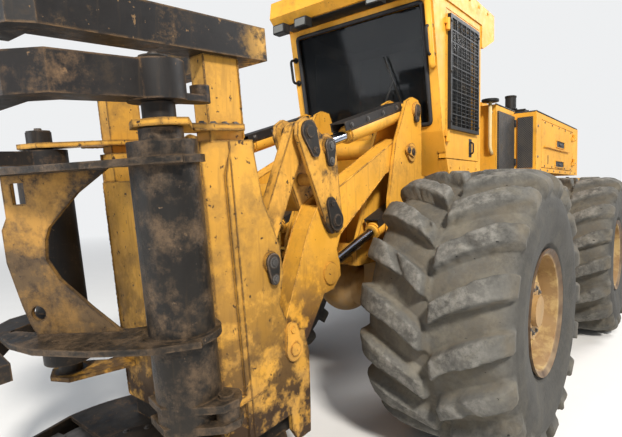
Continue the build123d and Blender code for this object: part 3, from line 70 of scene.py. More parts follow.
def at(x, y, z):
    """A point of the frame, given from the front axle, with the ground at zero."""
    return Vector((x + SHIFT, y, z))


HEAD_PIN = at(1.157, 0.0, 0.739)
HEAD_OUT = Vector((cos(HEAD_LEAN), 0.0, -sin(HEAD_LEAN)))
HEAD_UP = Vector((sin(HEAD_LEAN), 0.0, cos(HEAD_LEAN)))
SIDE = Vector((0.0, 1.0, 0.0))


def in_head(out, across, up):
    """A point of the head, measured from its pin before it leans."""
    return HEAD_PIN + HEAD_OUT * out + SIDE * across + HEAD_UP * up


def line_of(base, eye):
    """Direction of a cylinder from base to eye, and the one square to it and upward."""
    run = Vector((eye[0] - base[0], 0, eye[1] - base[1])).normalized()
    return run, Vector((-run.z, 0, run.x))


# Materials: each is a node tree that paints by the object's own coordinates.
class Shade:
    """A node tree and what the finishes share."""

    def __init__(self, name):
        self.mat = bpy.data.materials.new(name)
        self.mat.use_nodes = True
        self.tree = self.mat.node_tree
        self.tree.nodes.clear()
        self.out = self.add("OutputMaterial")
        self.bsdf = self.add("BsdfPrincipled")
        self.link(self.bsdf.outputs[0], self.out.inputs[0])
        self.coords = self.add("TexCoord").outputs["Object"]

    def add(self, kind, **values):
        node = self.tree.nodes.new("ShaderNode" + kind)
        for key, value in values.items():
            setattr(node, key, value)
        return node

    def link(self, a, b):
        self.tree.links.new(a, b)

    def feed(self, socket, value):
        """Put a number, a colour or another node's output into a socket."""
        if isinstance(value, tuple):
            socket.default_value = value + (1.0,)
        elif isinstance(value, (int, float)):
            socket.default_value = value
        else:
            self.link(value, socket)

    def set(self, name, value):
        """Give the surface a number or another node's output."""
        self.feed(self.bsdf.inputs[name], value)

    def noise(self, scale, detail=4.0, rough=0.6, stretch=None):
        """Noise value; stretch scales the three axes."""
        node = self.add("TexNoise")
        for key, number in (("Scale", scale), ("Detail", detail), ("Roughness", rough)):
            node.inputs[key].default_value = number
        source = self.coords
        if stretch:
            mapping = self.add("Mapping")
            mapping.inputs["Scale"].default_value = stretch
            self.link(self.coords, mapping.inputs["Vector"])
            source = mapping.outputs[0]
        self.link(source, node.inputs["Vector"])
        return node.outputs["Fac"]

    def ramp(self, value, low, high, out_low=0.0, out_high=1.0):
        """The value's way from low to high, laid on the way from out_low to out_high."""
        node = self.add("MapRange", clamp=True)
        for key, number in (("From Min", low), ("From Max", high), ("To Min", out_low), ("To Max", out_high)):
            node.inputs[key].default_value = number
        self.link(value, node.inputs["Value"])
        return node.outputs[0]

    def raw(self, kind, a, b=0.0, clamp=False):
        """Arithmetic on two values, without a clamp unless one is asked for."""
        node = self.add("Math", operation=kind, use_clamp=clamp)
        self.feed(node.inputs[0], a)
        self.feed(node.inputs[1], b)
        return node.outputs[0]

    def math(self, kind, a, b):
        """Arithmetic held between 0 and 1, other than a difference."""
        return self.raw(kind, a, b, clamp=kind != "SUBTRACT")

    def times(self, a, b):
        """Product, held between 0 and 1."""
        return self.math("MULTIPLY", a, b)

    def most(self, a, b):
        """Larger value, held between 0 and 1."""
        return self.math("MAXIMUM", a, b)

    def mix(self, share, a, b):
        """Colour a where share is 0, b where it is 1."""
        node = self.add("Mix", data_type="RGBA")
        self.link(share, node.inputs[0])
        self.feed(node.inputs[6], a)
        self.feed(node.inputs[7], b)
        return node.outputs[2]

    def blend_values(self, share, a, b):
        """Value a where share is 0, b where it is 1."""
        node = self.add("Mix", data_type="FLOAT")
        for number, value in ((0, share), (2, a), (3, b)):
            self.link(value, node.inputs[number])
        return node.outputs[0]

    def along(self, origin, direction):
        """Distance of the painted point from origin, along a direction."""
        less = self.add("VectorMath", operation="SUBTRACT")
        self.link(self.coords, less.inputs[0])
        less.inputs[1].default_value = tuple(origin)
        dot = self.add("VectorMath", operation="DOT_PRODUCT")
        self.link(less.outputs[0], dot.inputs[0])
        dot.inputs[1].default_value = tuple(direction)
        return dot.outputs["Value"]

    def reach_from(self, origin, first, second):
        """Distance from the line through origin that is square to two directions."""
        pair = self.add("CombineXYZ")
        self.link(self.along(origin, first), pair.inputs[0])
        self.link(self.along(origin, second), pair.inputs[1])
        size = self.add("VectorMath", operation="LENGTH")
        self.link(pair.outputs[0], size.inputs[0])
        return size.outputs["Value"]

    def reach_from_axle(self, axle_x):
        """Distance from an axle's line."""
        return self.reach_from((axle_x + SHIFT, 0, AXLE_Z), (1, 0, 0), (0, 0, 1))

    def reach_from_tube(self, side):
        """Distance from the line of one of the head's upright tubes."""
        return self.reach_from(in_head(TUBE_OUT, side * TUBE_ACROSS, 0), HEAD_OUT, SIDE)

    def near(self, value, middle, half):
        """1 within half of the middle value."""
        off = self.raw("ABSOLUTE", self.raw("SUBTRACT", value, middle))
        return self.ramp(off, half, half + 0.002, 1.0, 0.0)

    def edges(self, radius):
        """1 on worn edges, 0 on flats."""
        bevel = self.add("Bevel", samples=4)
        bevel.inputs["Radius"].default_value = radius
        geo = self.add("NewGeometry")
        dot = self.add("VectorMath", operation="DOT_PRODUCT")
        self.link(bevel.outputs[0], dot.inputs[0])
        self.link(geo.outputs["Normal"], dot.inputs[1])
        return self.ramp(dot.outputs["Value"], 0.995, 0.90)

    def split(self):
        """The painted point's X, Y and Z."""
        node = self.add("SeparateXYZ")
        self.link(self.coords, node.inputs[0])
        return node.outputs[0], node.outputs[1], node.outputs[2]

    def height(self):
        return self.split()[2]

    def bump(self, value, strength, distance):
        """Relief in the shading by a value."""
        node = self.add("Bump")
        node.inputs["Strength"].default_value = strength
        node.inputs["Distance"].default_value = distance
        self.link(value, node.inputs["Height"])
        self.set("Normal", node.outputs[0])


DUST = (0.42, 0.31, 0.19)
SOIL = (0.075, 0.045, 0.02)
RUST = (0.16, 0.055, 0.022)
SEAM = (0.012, 0.010, 0.008)
RIM_SHADED_LIP_R = (0.318, 0.338)  # where a rim's cream paint goes over into its dark lip
PLATE_HALF = 0.0145  # half of the harvest arm's plates, with a little room


def coat(s, paint, chips=0.5, grime=0.5, dust=0.3, under=RUST, gloss=0.42, worn=None):
    """Machine paint with fading, streaks, chips along the edges and dust low down.

    worn is an extra mask of places where the under colour shows in patches, such as paint rubbed through.
    Gives colour, roughness and relief.
    """
    fade = s.ramp(s.noise(3.0, 6), 0.35, 0.7)
    pale = tuple(min(1.0, c * 1.12 + 0.003) for c in paint)
    deep = tuple(c * 0.86 for c in paint)
    colour = s.mix(fade, deep, pale)
    streaks = s.ramp(s.noise(1.0, 6, 0.65, (28, 28, 2.2)), 0.60 - 0.10 * grime, 0.80)
    blots = s.ramp(s.noise(4.5, 8, 0.72), 0.63 - 0.16 * grime, 0.74 - 0.06 * grime)
    dirt = s.times(s.most(streaks, blots), min(1.0, 0.35 + 0.65 * grime))
    colour = s.mix(dirt, colour, tuple(0.35 * p + 0.65 * g for p, g in zip(paint, SOIL)))
    low = s.ramp(s.height(), 1.3, 0.2, 0.0, dust)
    dusty = s.times(s.math("ADD", low, dust * 0.25), s.ramp(s.noise(9, 5), 0.3, 0.7))
    colour = s.mix(dusty, colour, DUST)
    rubbed = s.ramp(s.noise(14, 6, 0.7), 0.60 - 0.28 * chips, 0.72 - 0.2 * chips)
    edge = s.times(s.edges(0.006 + 0.010 * chips), rubbed)
    spots = s.ramp(s.noise(26, 5, 0.65), 0.735 - 0.09 * chips, 0.755 - 0.09 * chips)
    chipped = s.most(edge, spots)
    if worn is not None:
        patches = s.times(worn, s.ramp(s.noise(7, 8, 0.7), 0.40, 0.52))
        chipped = s.most(chipped, patches)
    colour = s.mix(chipped, colour, under)
    rough = s.ramp(s.noise(20, 4), 0.3, 0.7, gloss, gloss + 0.15)
    rough = s.math("ADD", rough, s.times(dirt, 0.3))
    rough = s.math("ADD", rough, s.times(dusty, 0.4))
    relief = s.math("SUBTRACT", s.times(s.noise(60, 4), 0.35), s.times(chipped, 0.6))
    return colour, rough, relief


def apply(s, layer, strength=0.35, distance=0.002, shine=0.22):
    """Make a layer the look of the material."""
    colour, rough, relief = layer
    s.set("Specular IOR Level", shine)
    s.set("Base Color", colour)
    s.set("Roughness", rough)
    s.bump(relief, strength, distance)
    return s.mat


def over(s, share, under, top):
    """Layer top laid on layer under where share is 1."""
    values = [s.blend_values(share, a, b) for a, b in zip(under[1:], top[1:])]
    return [s.mix(share, under[0], top[0])] + values


def worn_paint(name, paint, scuffs=None, **looks):
    """A plain coat; scuffs gives the noise levels between which it is rubbed through."""
    s = Shade(name)
    worn = s.ramp(s.noise(5.0, 9, 0.8), *scuffs) if scuffs else None
    return apply(s, coat(s, paint, worn=worn, **looks))


def rim_paint(name, axle_x):
    """Cream rim with a dusty hub and a dark lip: painted shade under the tyre, with rust."""
    s = Shade(name)
    reach = s.reach_from_axle(axle_x)
    worn = s.ramp(reach, 0.27, 0.33, 0.0, 0.6)
    cream = coat(s, (0.64, 0.46, 0.19), chips=0.35, grime=0.45, dust=0.45, worn=worn)
    hub = coat(s, (0.34, 0.20, 0.07), chips=0.5, grime=0.8, dust=0.6, under=(0.10, 0.055, 0.030))
    dish = over(s, s.ramp(reach, 0.175, 0.165), cream, hub)
    # dark lip at the tyre's bead: painted shade under the tyre's bulge, with rust chips
    dark = coat(s, (0.075, 0.045, 0.028), chips=0.3, grime=0.8, dust=0.5, under=(0.20, 0.09, 0.04))
    return apply(s, over(s, s.ramp(reach, *RIM_SHADED_LIP_R), dish, dark))


def arm_paint(name):
    """Black tube, plates and crank of the harvest arm; its web is dirty and darkened by painted shade, its
    yellow too, with yellow left high up.
    """
    s = Shade(name)
    up = s.along(HEAD_PIN, HEAD_UP)
    tube_share = s.ramp(s.reach_from_tube(1), 0.149, 0.154, 1.0, 0.0)
    plates = s.most(s.near(up, 0.320, PLATE_HALF), s.near(up, 0.975, PLATE_HALF))
    crank = s.ramp(up, 0.10, 0.11, 1.0, 0.0)
    black_parts = s.most(s.most(tube_share, plates), crank)
    # the web's brown and its dim yellow hold dirt and also painted shade
    soiled_and_shaded = coat(s, (0.085, 0.052, 0.024), chips=0.9, grime=0.9, dust=0.05, under=(0.020, 0.013, 0.009),
                  worn=s.ramp(s.noise(3.2, 8, 0.75), 0.42, 0.56))
    yellow_in_shade = coat(s, (0.40, 0.205, 0.040), chips=0.9, grime=0.9, dust=0.05, under=(0.030, 0.018, 0.010))
    patches = s.ramp(s.noise(3.6, 8, 0.72), 0.47, 0.60)
    left_paint = s.times(s.ramp(up, 0.45, 0.90, 0.35, 1.0), patches)
    web = over(s, left_paint, soiled_and_shaded, yellow_in_shade)
    dark = coat(s, (0.008, 0.007, 0.006), chips=0.75, grime=0.40, dust=0.03, under=(0.095, 0.062, 0.036),
                gloss=0.32, worn=s.ramp(s.noise(6, 9, 0.8), 0.44, 0.62))
    return apply(s, over(s, black_parts, web, dark), 0.6, 0.003)


def tower_paint(name):
    """Yellow tower of the head, dirtier towards its foot, with black posts."""
    s = Shade(name)
    foot = s.ramp(s.along(HEAD_PIN, HEAD_UP), 0.75, -0.25)
    yellow = coat(s, (0.52, 0.265, 0.036), chips=1.15, grime=0.95, dust=0.20, under=(0.042, 0.024, 0.013),
                  worn=foot)
    left = s.ramp(s.reach_from_tube(1), 0.075, 0.085, 1.0, 0.0)
    right = s.ramp(s.reach_from_tube(-1), 0.075, 0.085, 1.0, 0.0)
    dark = coat(s, (0.013, 0.011, 0.010), chips=0.5, grime=0.45, dust=0.03, under=(0.085, 0.048, 0.024),
                gloss=0.36)
    return apply(s, over(s, s.most(left, right), yellow, dark), 0.45, 0.002)


def beam_paint(name):
    """Black guard beam, scuffed brown and rubbed to yellow at its rear end."""
    s = Shade(name)
    rear = s.ramp(s.along(HEAD_PIN, HEAD_OUT), 0.20, 0.02)
    black = coat(s, (0.010, 0.009, 0.009), chips=0.90, grime=0.3, dust=0.03, under=(0.16, 0.095, 0.042),
                 worn=s.ramp(s.noise(4.2, 9, 0.8), 0.54, 0.70))
    yellow = coat(s, (0.50, 0.27, 0.05), chips=0.9, grime=0.9, dust=0.12, under=(0.09, 0.05, 0.025))
    patch = s.times(rear, s.ramp(s.noise(6, 8, 0.75), 0.46, 0.56))
    return apply(s, over(s, patch, black, yellow), 0.45, 0.002)


def link_paint(name):
    """Yellow rockers and links with greasy patches and feet."""
    s = Shade(name)
    grease = s.most(s.ramp(s.height(), 1.50, 1.34), s.ramp(s.noise(5, 8, 0.75), 0.50, 0.62))
    layer = coat(s, (0.60, 0.30, 0.045), chips=1.0, grime=0.95, dust=0.10, under=(0.026, 0.019, 0.014),
                 worn=grease)
    return apply(s, layer, 0.45, 0.002)


def boom_paint(name):
    """Yellow boom plates and front frame, with dark brown patches growing denser towards the bottom."""
    s = Shade(name)
    # dark brown patches grow denser towards the bottom
    layer = coat(s, (0.66, 0.320, 0.032), chips=0.75, grime=0.60, dust=0.20, under=(0.055, 0.030, 0.017),
                 worn=s.ramp(s.height(), 1.22, 0.82))
    return apply(s, layer, 0.4, 0.002)


def rear_paint(name):
    """Dark rails; the weight behind them is yellow with dark seams across its faces."""
    s = Shade(name)
    _, y, z = s.split()
    weight = s.ramp(s.along(at(-3.966, 0, 0), (-1, 0, 0)), 0.0, 0.003)
    dark = coat(s, (0.060, 0.045, 0.030), chips=0.4, grime=0.6, dust=0.6)
    yellow = coat(s, (0.56, 0.280, 0.032), chips=0.8, grime=0.75, dust=0.30, under=(0.050, 0.030, 0.020),
                  worn=s.ramp(z, 1.25, 0.85))
    seams = s.most(s.near(z, 1.500, 0.005), s.near(z, 0.930, 0.005))
    seams = s.most(seams, s.near(s.raw("ABSOLUTE", y), 0.520, 0.005))
    yellow = (s.mix(seams, yellow[0], SEAM), yellow[1], s.math("SUBTRACT", yellow[2], seams))
    return apply(s, over(s, weight, dark, yellow), 0.5, 0.003)


def mesh_panel(name, step):
    """Black perforated sheet: rows of holes, a step apart, painted near-black as shade, in a dusty grey-black
    face.
    """
    s = Shade(name)
    x, y, z = s.split()
    up = s.raw("SINE", s.raw("MULTIPLY", z, 2 * pi / step))
    across = s.raw("SINE", s.raw("MULTIPLY", s.raw("ADD", x, y), 2 * pi / step))
    holes = s.ramp(s.raw("MULTIPLY", across, up), 0.05, 0.30)
    face = coat(s, (0.050, 0.052, 0.055), chips=0.3, grime=0.4, dust=0.5, under=(0.12, 0.09, 0.06))
    # holes painted near-black: painted shade seen through them
    colour = s.mix(holes, face[0], (0.006, 0.006, 0.006))
    return apply(s, (colour, face[1], s.math("SUBTRACT", 1.0, holes)), 0.6, 0.003)


def rubber(name, axle_x, base=(0.062, 0.059, 0.052)):
    """Tyre rubber: scuffed lug tops, sand in the grooves, darker side walls and cuts."""
    s = Shade(name)
    reach = s.reach_from_axle(axle_x)
    cloud = s.ramp(s.noise(4, 8, 0.65), 0.30, 0.72)
    fine = s.ramp(s.noise(45, 6, 0.7), 0.35, 0.68)
    colour = s.mix(cloud, tuple(c * 0.50 for c in base), tuple(c * 1.9 for c in base))
    colour = s.mix(s.times(fine, 0.5), colour, tuple(c * 2.2 for c in base))
    groove = s.times(s.ramp(reach, 0.795, 0.768), s.ramp(reach, 0.690, 0.735))
    packed = s.times(groove, s.ramp(s.noise(10, 7, 0.7), 0.34, 0.62, 0.10, 0.78))
    colour = s.mix(packed, colour, (0.115, 0.096, 0.068))
    sand = s.times(s.ramp(s.noise(6.5, 7, 0.7), 0.50, 0.70), 0.60)
    colour = s.mix(sand, colour, (0.185, 0.165, 0.125))
    scuff = s.times(s.ramp(reach, 0.808, 0.824), s.ramp(s.noise(16, 8, 0.75), 0.44, 0.62))
    colour = s.mix(s.times(scuff, 0.65), colour, (0.235, 0.222, 0.195))
    colour = s.mix(s.ramp(reach, 0.715, 0.650, 0.0, 0.60), colour, (0.024, 0.023, 0.021))
    cuts = s.ramp(s.noise(24, 3, 0.5, (1, 1, 2.5)), 0.72, 0.75)
    colour = s.mix(cuts, colour, (0.012, 0.011, 0.010))
    s.set("Base Color", colour)
    s.set("Roughness", 0.82)
    s.set("Specular IOR Level", 0.35)
    relief = s.math("SUBTRACT", s.times(s.noise(55, 8, 0.7), 0.8), s.times(cuts, 0.5))
    s.bump(relief, 0.6, 0.006)
    return s.mat


def cylinder_paint(name, base, eye):
    """Yellow barrels under black guards, told apart by their place round the cylinder's line."""
    s = Shade(name)
    square = line_of(base, eye)[1]
    flank = s.raw("ABSOLUTE", s.raw("SUBTRACT", s.raw("ABSOLUTE", s.split()[1]), ARM_Y))
    lift = s.along(at(base[0], 0, base[1]), square)
    top = s.ramp(lift, 0.0585, 0.0600)
    lip = s.times(s.ramp(flank, 0.0460, 0.0470), s.ramp(lift, 0.020, 0.024))
    yellow = coat(s, (0.70, 0.345, 0.035), chips=0.6, grime=0.6, dust=0.2, under=(0.06, 0.032, 0.018))
    black = coat(s, (0.014, 0.013, 0.013), chips=0.5, grime=0.3, dust=0.06, under=(0.10, 0.075, 0.05))
    return apply(s, over(s, s.most(top, lip), yellow, black), 0.4, 0.002)


def steel(name, base, rusty=0.5, roughness=0.45, metallic=0.85):
    """Bare steel with rust and grease."""
    s = Shade(name)
    cloud = s.ramp(s.noise(8, 7, 0.65), 0.32, 0.7)
    colour = s.mix(cloud, tuple(c * 0.55 for c in base), base)
    rust = s.ramp(s.noise(5, 8, 0.7), 0.66 - 0.25 * rusty, 0.78 - 0.15 * rusty)
    colour = s.mix(rust, colour, (0.17, 0.075, 0.032))
    s.set("Base Color", colour)
    s.set("Metallic", s.ramp(rust, 0, 1, metallic, 0.1))
    s.set("Roughness", s.ramp(s.noise(30, 4), 0.3, 0.7, roughness - 0.08, roughness + 0.2))
    s.bump(s.noise(50, 6, 0.7), 0.25, 0.002)
    return s.mat


def plain(name, base, roughness, metallic=0.0, grain=40.0, relief=0.15, vary=0.25):
    """A finish with a little variation and relief."""
    s = Shade(name)
    cloud = s.ramp(s.noise(grain * 0.2, 5), 0.3, 0.7)
    colour = s.mix(cloud, tuple(c * (1 - vary) for c in base), tuple(min(1, c * (1 + vary)) for c in base))
    s.set("Base Color", colour)
    s.set("Metallic", metallic)
    rough = s.ramp(s.noise(grain, 4), 0.3, 0.7, roughness * 0.85, min(1.0, roughness * 1.15))
    s.set("Roughness", rough)
    s.bump(s.noise(grain * 2, 5), relief, 0.001)
    return s.mat


def pane(name, tint, alpha, roughness=0.06, shine=0.12):
    """Dusty window glass."""
    s = Shade(name)
    dust = s.ramp(s.noise(4, 8, 0.7), 0.50, 0.95, 0.0, 0.22)
    s.set("Base Color", s.mix(dust, tint, (0.13, 0.12, 0.10)))
    s.set("Roughness", roughness)
    s.set("Specular IOR Level", shine)
    s.set("Alpha", s.ramp(dust, 0, 1, alpha, min(1.0, alpha + 0.20)))
    s.bump(s.noise(3, 2), 0.02, 0.001)
    return s.mat


M = {
    "body": worn_paint("yellow_body", (0.72, 0.345, 0.030), chips=0.45, grime=0.42, dust=0.25,
                       under=(0.09, 0.045, 0.022)),
    "boom": boom_paint("yellow_boom"),
    "rear": rear_paint("rear_frame_paint"),
    "linkage": link_paint("yellow_linkage"),
    "tower": tower_paint("yellow_tower"),
    "arm": arm_paint("worn_arm"),
    "black": worn_paint("black_paint", (0.010, 0.009, 0.009), (0.52, 0.70), chips=0.7, grime=0.3, dust=0.05,
                        under=(0.13, 0.078, 0.040)),
    "beam": beam_paint("black_beam"),
    "guard": worn_paint("guard_black", (0.012, 0.013, 0.014), chips=0.3, grime=0.3, dust=0.05,
                        under=(0.09, 0.07, 0.05)),
    "rim_front": rim_paint("rim_cream_front", 0.0),
    "rim_rear": rim_paint("rim_cream_rear", -WHEELBASE),
    "tyre_front": rubber("tyre_rubber_front", 0.0),
    "tyre_rear": rubber("tyre_rubber_rear", -WHEELBASE),
    "tilt": cylinder_paint("tilt_cylinders", TILT_BASE, TILT_EYE),
    "lift": cylinder_paint("lift_cylinders", LIFT_BASE, LIFT_EYE),
    "red": plain("red_lens", (0.35, 0.012, 0.008), 0.2, 0.0, 60, 0.1, 0.2),
    "seal": plain("seal_rubber", (0.014, 0.014, 0.015), 0.7, 0.0, 60, 0.2, 0.3),
    "pin": worn_paint("black_pins", (0.014, 0.013, 0.012), chips=0.8, grime=0.4, dust=0.04,
                      under=(0.12, 0.085, 0.060)),
    "pin_yellow": worn_paint("yellow_pins", (0.62, 0.31, 0.05), chips=0.8, grime=0.8, dust=0.1,
                             under=(0.05, 0.03, 0.02)),
    "disc": steel("disc_steel", (0.30, 0.27, 0.24), 0.6),
    "bolt": steel("bolt_steel", (0.16, 0.15, 0.14), 0.3, 0.42, 0.8),
    "rod": plain("chromed_rod", (0.55, 0.58, 0.66), 0.16, 1.0, 25, 0.03, 0.06),
    "cast": steel("cast_engine", (0.09, 0.085, 0.08), 0.5, 0.6, 0.3),
    "frame": worn_paint("frame_dark", (0.060, 0.045, 0.030), chips=0.4, grime=0.6, dust=0.6),
    "axle": worn_paint("axle_yellow", (0.30, 0.16, 0.04), chips=0.4, grime=0.8, dust=0.7),
    "mesh": mesh_panel("mesh_sheet", 0.022),
    "glass": pane("cab_glass_tint", (0.006, 0.007, 0.008), 0.80),
    "lens": pane("lamp_lens", (0.16, 0.16, 0.15), 0.92, 0.12, 0.5),
    "seat": plain("seat_cloth", (0.060, 0.060, 0.064), 0.9, 0.0, 160, 0.5, 0.3),
    "cream": worn_paint("cream_tube", (0.66, 0.52, 0.26), chips=0.3, grime=0.4, dust=0.3),
}

NODES_OF_FINISH = {
    "boom": "front_chassis boom_arms",
    "rear": "rear_chassis",
    "axle": "front_axle rear_axle",
    "frame": "steer_barrel_left steer_barrel_right",
    "lift": "lift_barrels",
    "tilt": "tilt_barrels",
    "rod": "lift_rods tilt_rods steer_rod_left steer_rod_right",
    "linkage": "rockers tilt_links",
    "pin": "rocker_pins link_pins",
    "pin_yellow": "head_pins",
    "tower": "head_tower",
    "beam": "head_guard",
    "arm": "harvest_arm",
    "black": "saw_housing accumulator_arm right_arm",
    "disc": "saw_disc",
    "body": "hood engine_door_left engine_door_right rear_door cab_shell cab_roof cab_door",
    "cast": "engine_block",
    "mesh": "cooling_grilles",
    "guard": "exhaust cab_guards door_guard",
    "glass": "door_glass cab_glass",
    "lens": "work_lamps",
    "seat": "operator_seat",
    "rim_front": "front_left_rim front_right_rim",
    "rim_rear": "rear_left_rim rear_right_rim",
}
for finish, nodes in NODES_OF_FINISH.items():
    for node in nodes.split():
        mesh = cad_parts[node].data
        mesh.materials.clear()
        mesh.materials.append(M[finish])


def show(name, data):
    """New object with its data, put into the scene."""
    obj = bpy.data.objects.new(name, data)
    bpy.context.collection.objects.link(obj)
    return obj


def piece(name, bm, finishes, body, smooth=True, replaces=()):
    """Turn a bmesh into a piece that rides on a body; faces choose their finish by index."""
    bmesh.ops.recalc_face_normals(bm, faces=bm.faces)
    mesh = bpy.data.meshes.new(name)
    bm.to_mesh(mesh)
    bm.free()
    for polygon in mesh.polygons:
        polygon.use_smooth = smooth
    obj = show(name, mesh)
    for finish in finishes.split():
        mesh.materials.append(M[finish])
    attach(obj, body)
    if replaces:
        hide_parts(*replaces)


# Small forms, each added to a bmesh.
def ring(bm, place, across, other, radius, sides, spin=0.0, flat=1.0):
    """Round of vertices about a place, in the plane of two directions."""
    verts = []
    for k in range(sides):
        a = 2 * pi * k / sides + spin
        verts.append(bm.verts.new(place + across * cos(a) * radius + other * sin(a) * radius * flat))
    return verts


def skin(bm, one, other, finish=0):
    """Faces between two rounds of as many vertices."""
    for k in range(len(one)):
        m = (k + 1) % len(one)
        bm.faces.new((one[k], one[m], other[m], other[k])).material_index = finish


def slab(bm, low, high, bevel, finish=0, turn=None):
    """Box between two corners with rounded edges; turn places it from its own coordinates."""
    low = Vector(low)
    high = Vector(high)
    size = high - low
    verts = bmesh.ops.create_cube(bm, size=1.0)["verts"]
    for v in verts:
        v.co = (low + high) / 2 + Vector((v.co.x * size.x, v.co.y * size.y, v.co.z * size.z))
    edges = list({e for v in verts for e in v.link_edges})
    done = bmesh.ops.bevel(bm, geom=edges, offset=bevel, segments=2, affect="EDGES", profile=0.6)
    verts = list({v for f in done["faces"] for v in f.verts} | {v for v in verts if v.is_valid})
    for f in {f for v in verts for f in v.link_faces}:
        f.material_index = finish
    if turn is not None:
        for v in verts:
            v.co = turn @ v.co


def tube(bm, points, radius, sides=10, finish=0, flat=1.0):
    """Bent tube through points; flat squeezes it across its second direction."""
    rings = []
    across = None
    for n, p in enumerate(points):
        run = (points[min(n + 1, len(points) - 1)] - points[max(n - 1, 0)]).normalized()
        if across is None:
            across = run.orthogonal().normalized()
        across = (across - run * across.dot(run)).normalized()
        rings.append(ring(bm, p, across, run.cross(across), radius, sides, flat=flat))
    for one, other in zip(rings, rings[1:]):
        skin(bm, one, other, finish)
    for end in (rings[0], rings[-1]):
        bm.faces.new(end).material_index = finish


def rounded(points, radius, steps=5):
    """The path through points with its corners cut to arcs."""
    points = [Vector(p) for p in points]
    path = [points[0]]
    for before, corner, after in zip(points, points[1:], points[2:]):
        into = (before - corner).normalized()
        out = (after - corner).normalized()
        cut = min(radius, (before - corner).length * 0.45, (after - corner).length * 0.45)
        a = corner + into * cut
        b = corner + out * cut
        for n in range(steps + 1):
            t = n / steps
            path.append(a * (1 - t) ** 2 + corner * 2 * t * (1 - t) + b * t ** 2)
    path.append(points[-1])
    return path


def bolt(bm, place, normal, radius, height, finish=0):
    """Hexagon head on a round washer, standing on a face."""
    normal = Vector(normal).normalized()
    across = normal.orthogonal().normalized()
    other = normal.cross(across)
    spin = noise.noise(place * 37.0) * 3.0
    washer = radius * 1.55
    sections = (  # (sides, radius, height above the face)
        (24, washer, -0.002), (24, washer, height * 0.22), (24, radius * 1.45, height * 0.30),
        (6, radius, height * 0.30), (6, radius, height * 0.90), (6, radius * 0.86, height),
    )
    last = None
    for sides, r, lift in sections:
        verts = ring(bm, place + normal * lift, across, other, r, sides, spin)
        if last and len(last) == sides:
            skin(bm, last, verts, finish)
        elif last:
            bm.faces.new(last).material_index = finish
        last = verts
    bm.faces.new(last).material_index = finish


def bead(bm, start, end, radius):
    """Weld bead with an uneven surface along a seam."""
    run = (end - start).normalized()
    across = run.orthogonal().normalized()
    count = max(6, int((end - start).length / 0.012))
    last = None
    for n in range(count + 1):
        p = start + (end - start) * n / count
        r = radius * (0.80 + 0.25 * (n % 2) + 0.35 * noise.noise(p * 60.0))
        verts = ring(bm, p, across, run.cross(across), r, 6)
        if last:
            skin(bm, last, verts)
        last = verts


# Tyres: a section from bead to bead, with lugs raised on it along slanting lines.
LUGS = 18
LUG_CELLS = 24
LUG_HEIGHT = 0.090
LUG_SWEEP = radians(17.0)
WIDEST_R = 0.59
SECTION = (  # (distance from the middle plane, radius, rows to the next point)
    (0.345, 0.345, 2), (0.362, 0.384, 2), (0.376, 0.398, 2), (0.379, 0.412, 2), (0.387, 0.450, 3),
    (0.402, 0.520, 3), (0.4085, 0.590, 4), (0.399, 0.645, 5), (0.380, 0.690, 4), (0.352, 0.710, 3),
    (0.318, 0.724, 3), (0.283, 0.732, 3), (0.240, 0.737, 3), (0.190, 0.740, 3), (0.140, 0.742, 3),
    (0.090, 0.743, 3), (0.050, 0.7435, 4), (0.0, 0.744, 1),
)


def section_rows():
    """Points of the section with the rows between them."""
    rows = []
    for (y0, r0, parts), (y1, r1, _) in zip(SECTION, SECTION[1:]):
        for n in range(parts):
            t = n / parts
            rows.append((y0 + (y1 - y0) * t, r0 + (r1 - r0) * t))
    rows.append(SECTION[-1][:2])
    return rows


def smooth_step(value, low, high):
    """0 below low, 1 above high and a soft curve between."""
    t = min(1.0, max(0.0, (value - low) / (high - low)))
    return t * t * (3 - 2 * t)


def lug_at(column, y, seed):
    """How much of the lug's full height stands at a column of the tread."""
    place = column / LUG_CELLS + (-0.25 if y >= 0 else 0.25)
    share = place % 1.0
    lug = int(place // 1) % LUGS
    bite = noise.noise(Vector((lug * 5.3 + seed, y * 7.0, 3.0)))
    width = 0.200 + 0.030 * smooth_step(abs(y), 0.05, 0.36) + 0.018 * bite
    ragged = 0.016 * noise.noise(Vector((share * 4.0 + lug, y * 30.0, seed)))
    across = abs(share - 0.5 + 0.012 * bite) + ragged
    height = 1.0 - smooth_step(across, width - 0.024, width + 0.032)
    top = 1.0 - 0.10 * abs(noise.noise(Vector((lug * 1.7 + share * 3, y * 12.0, seed))))
    torn = noise.noise(Vector((lug * 2.3, y * 9.0 + share * 2.2, seed + 5)))
    return height * (top - 0.22 * smooth_step(torn, 0.28, 0.50))


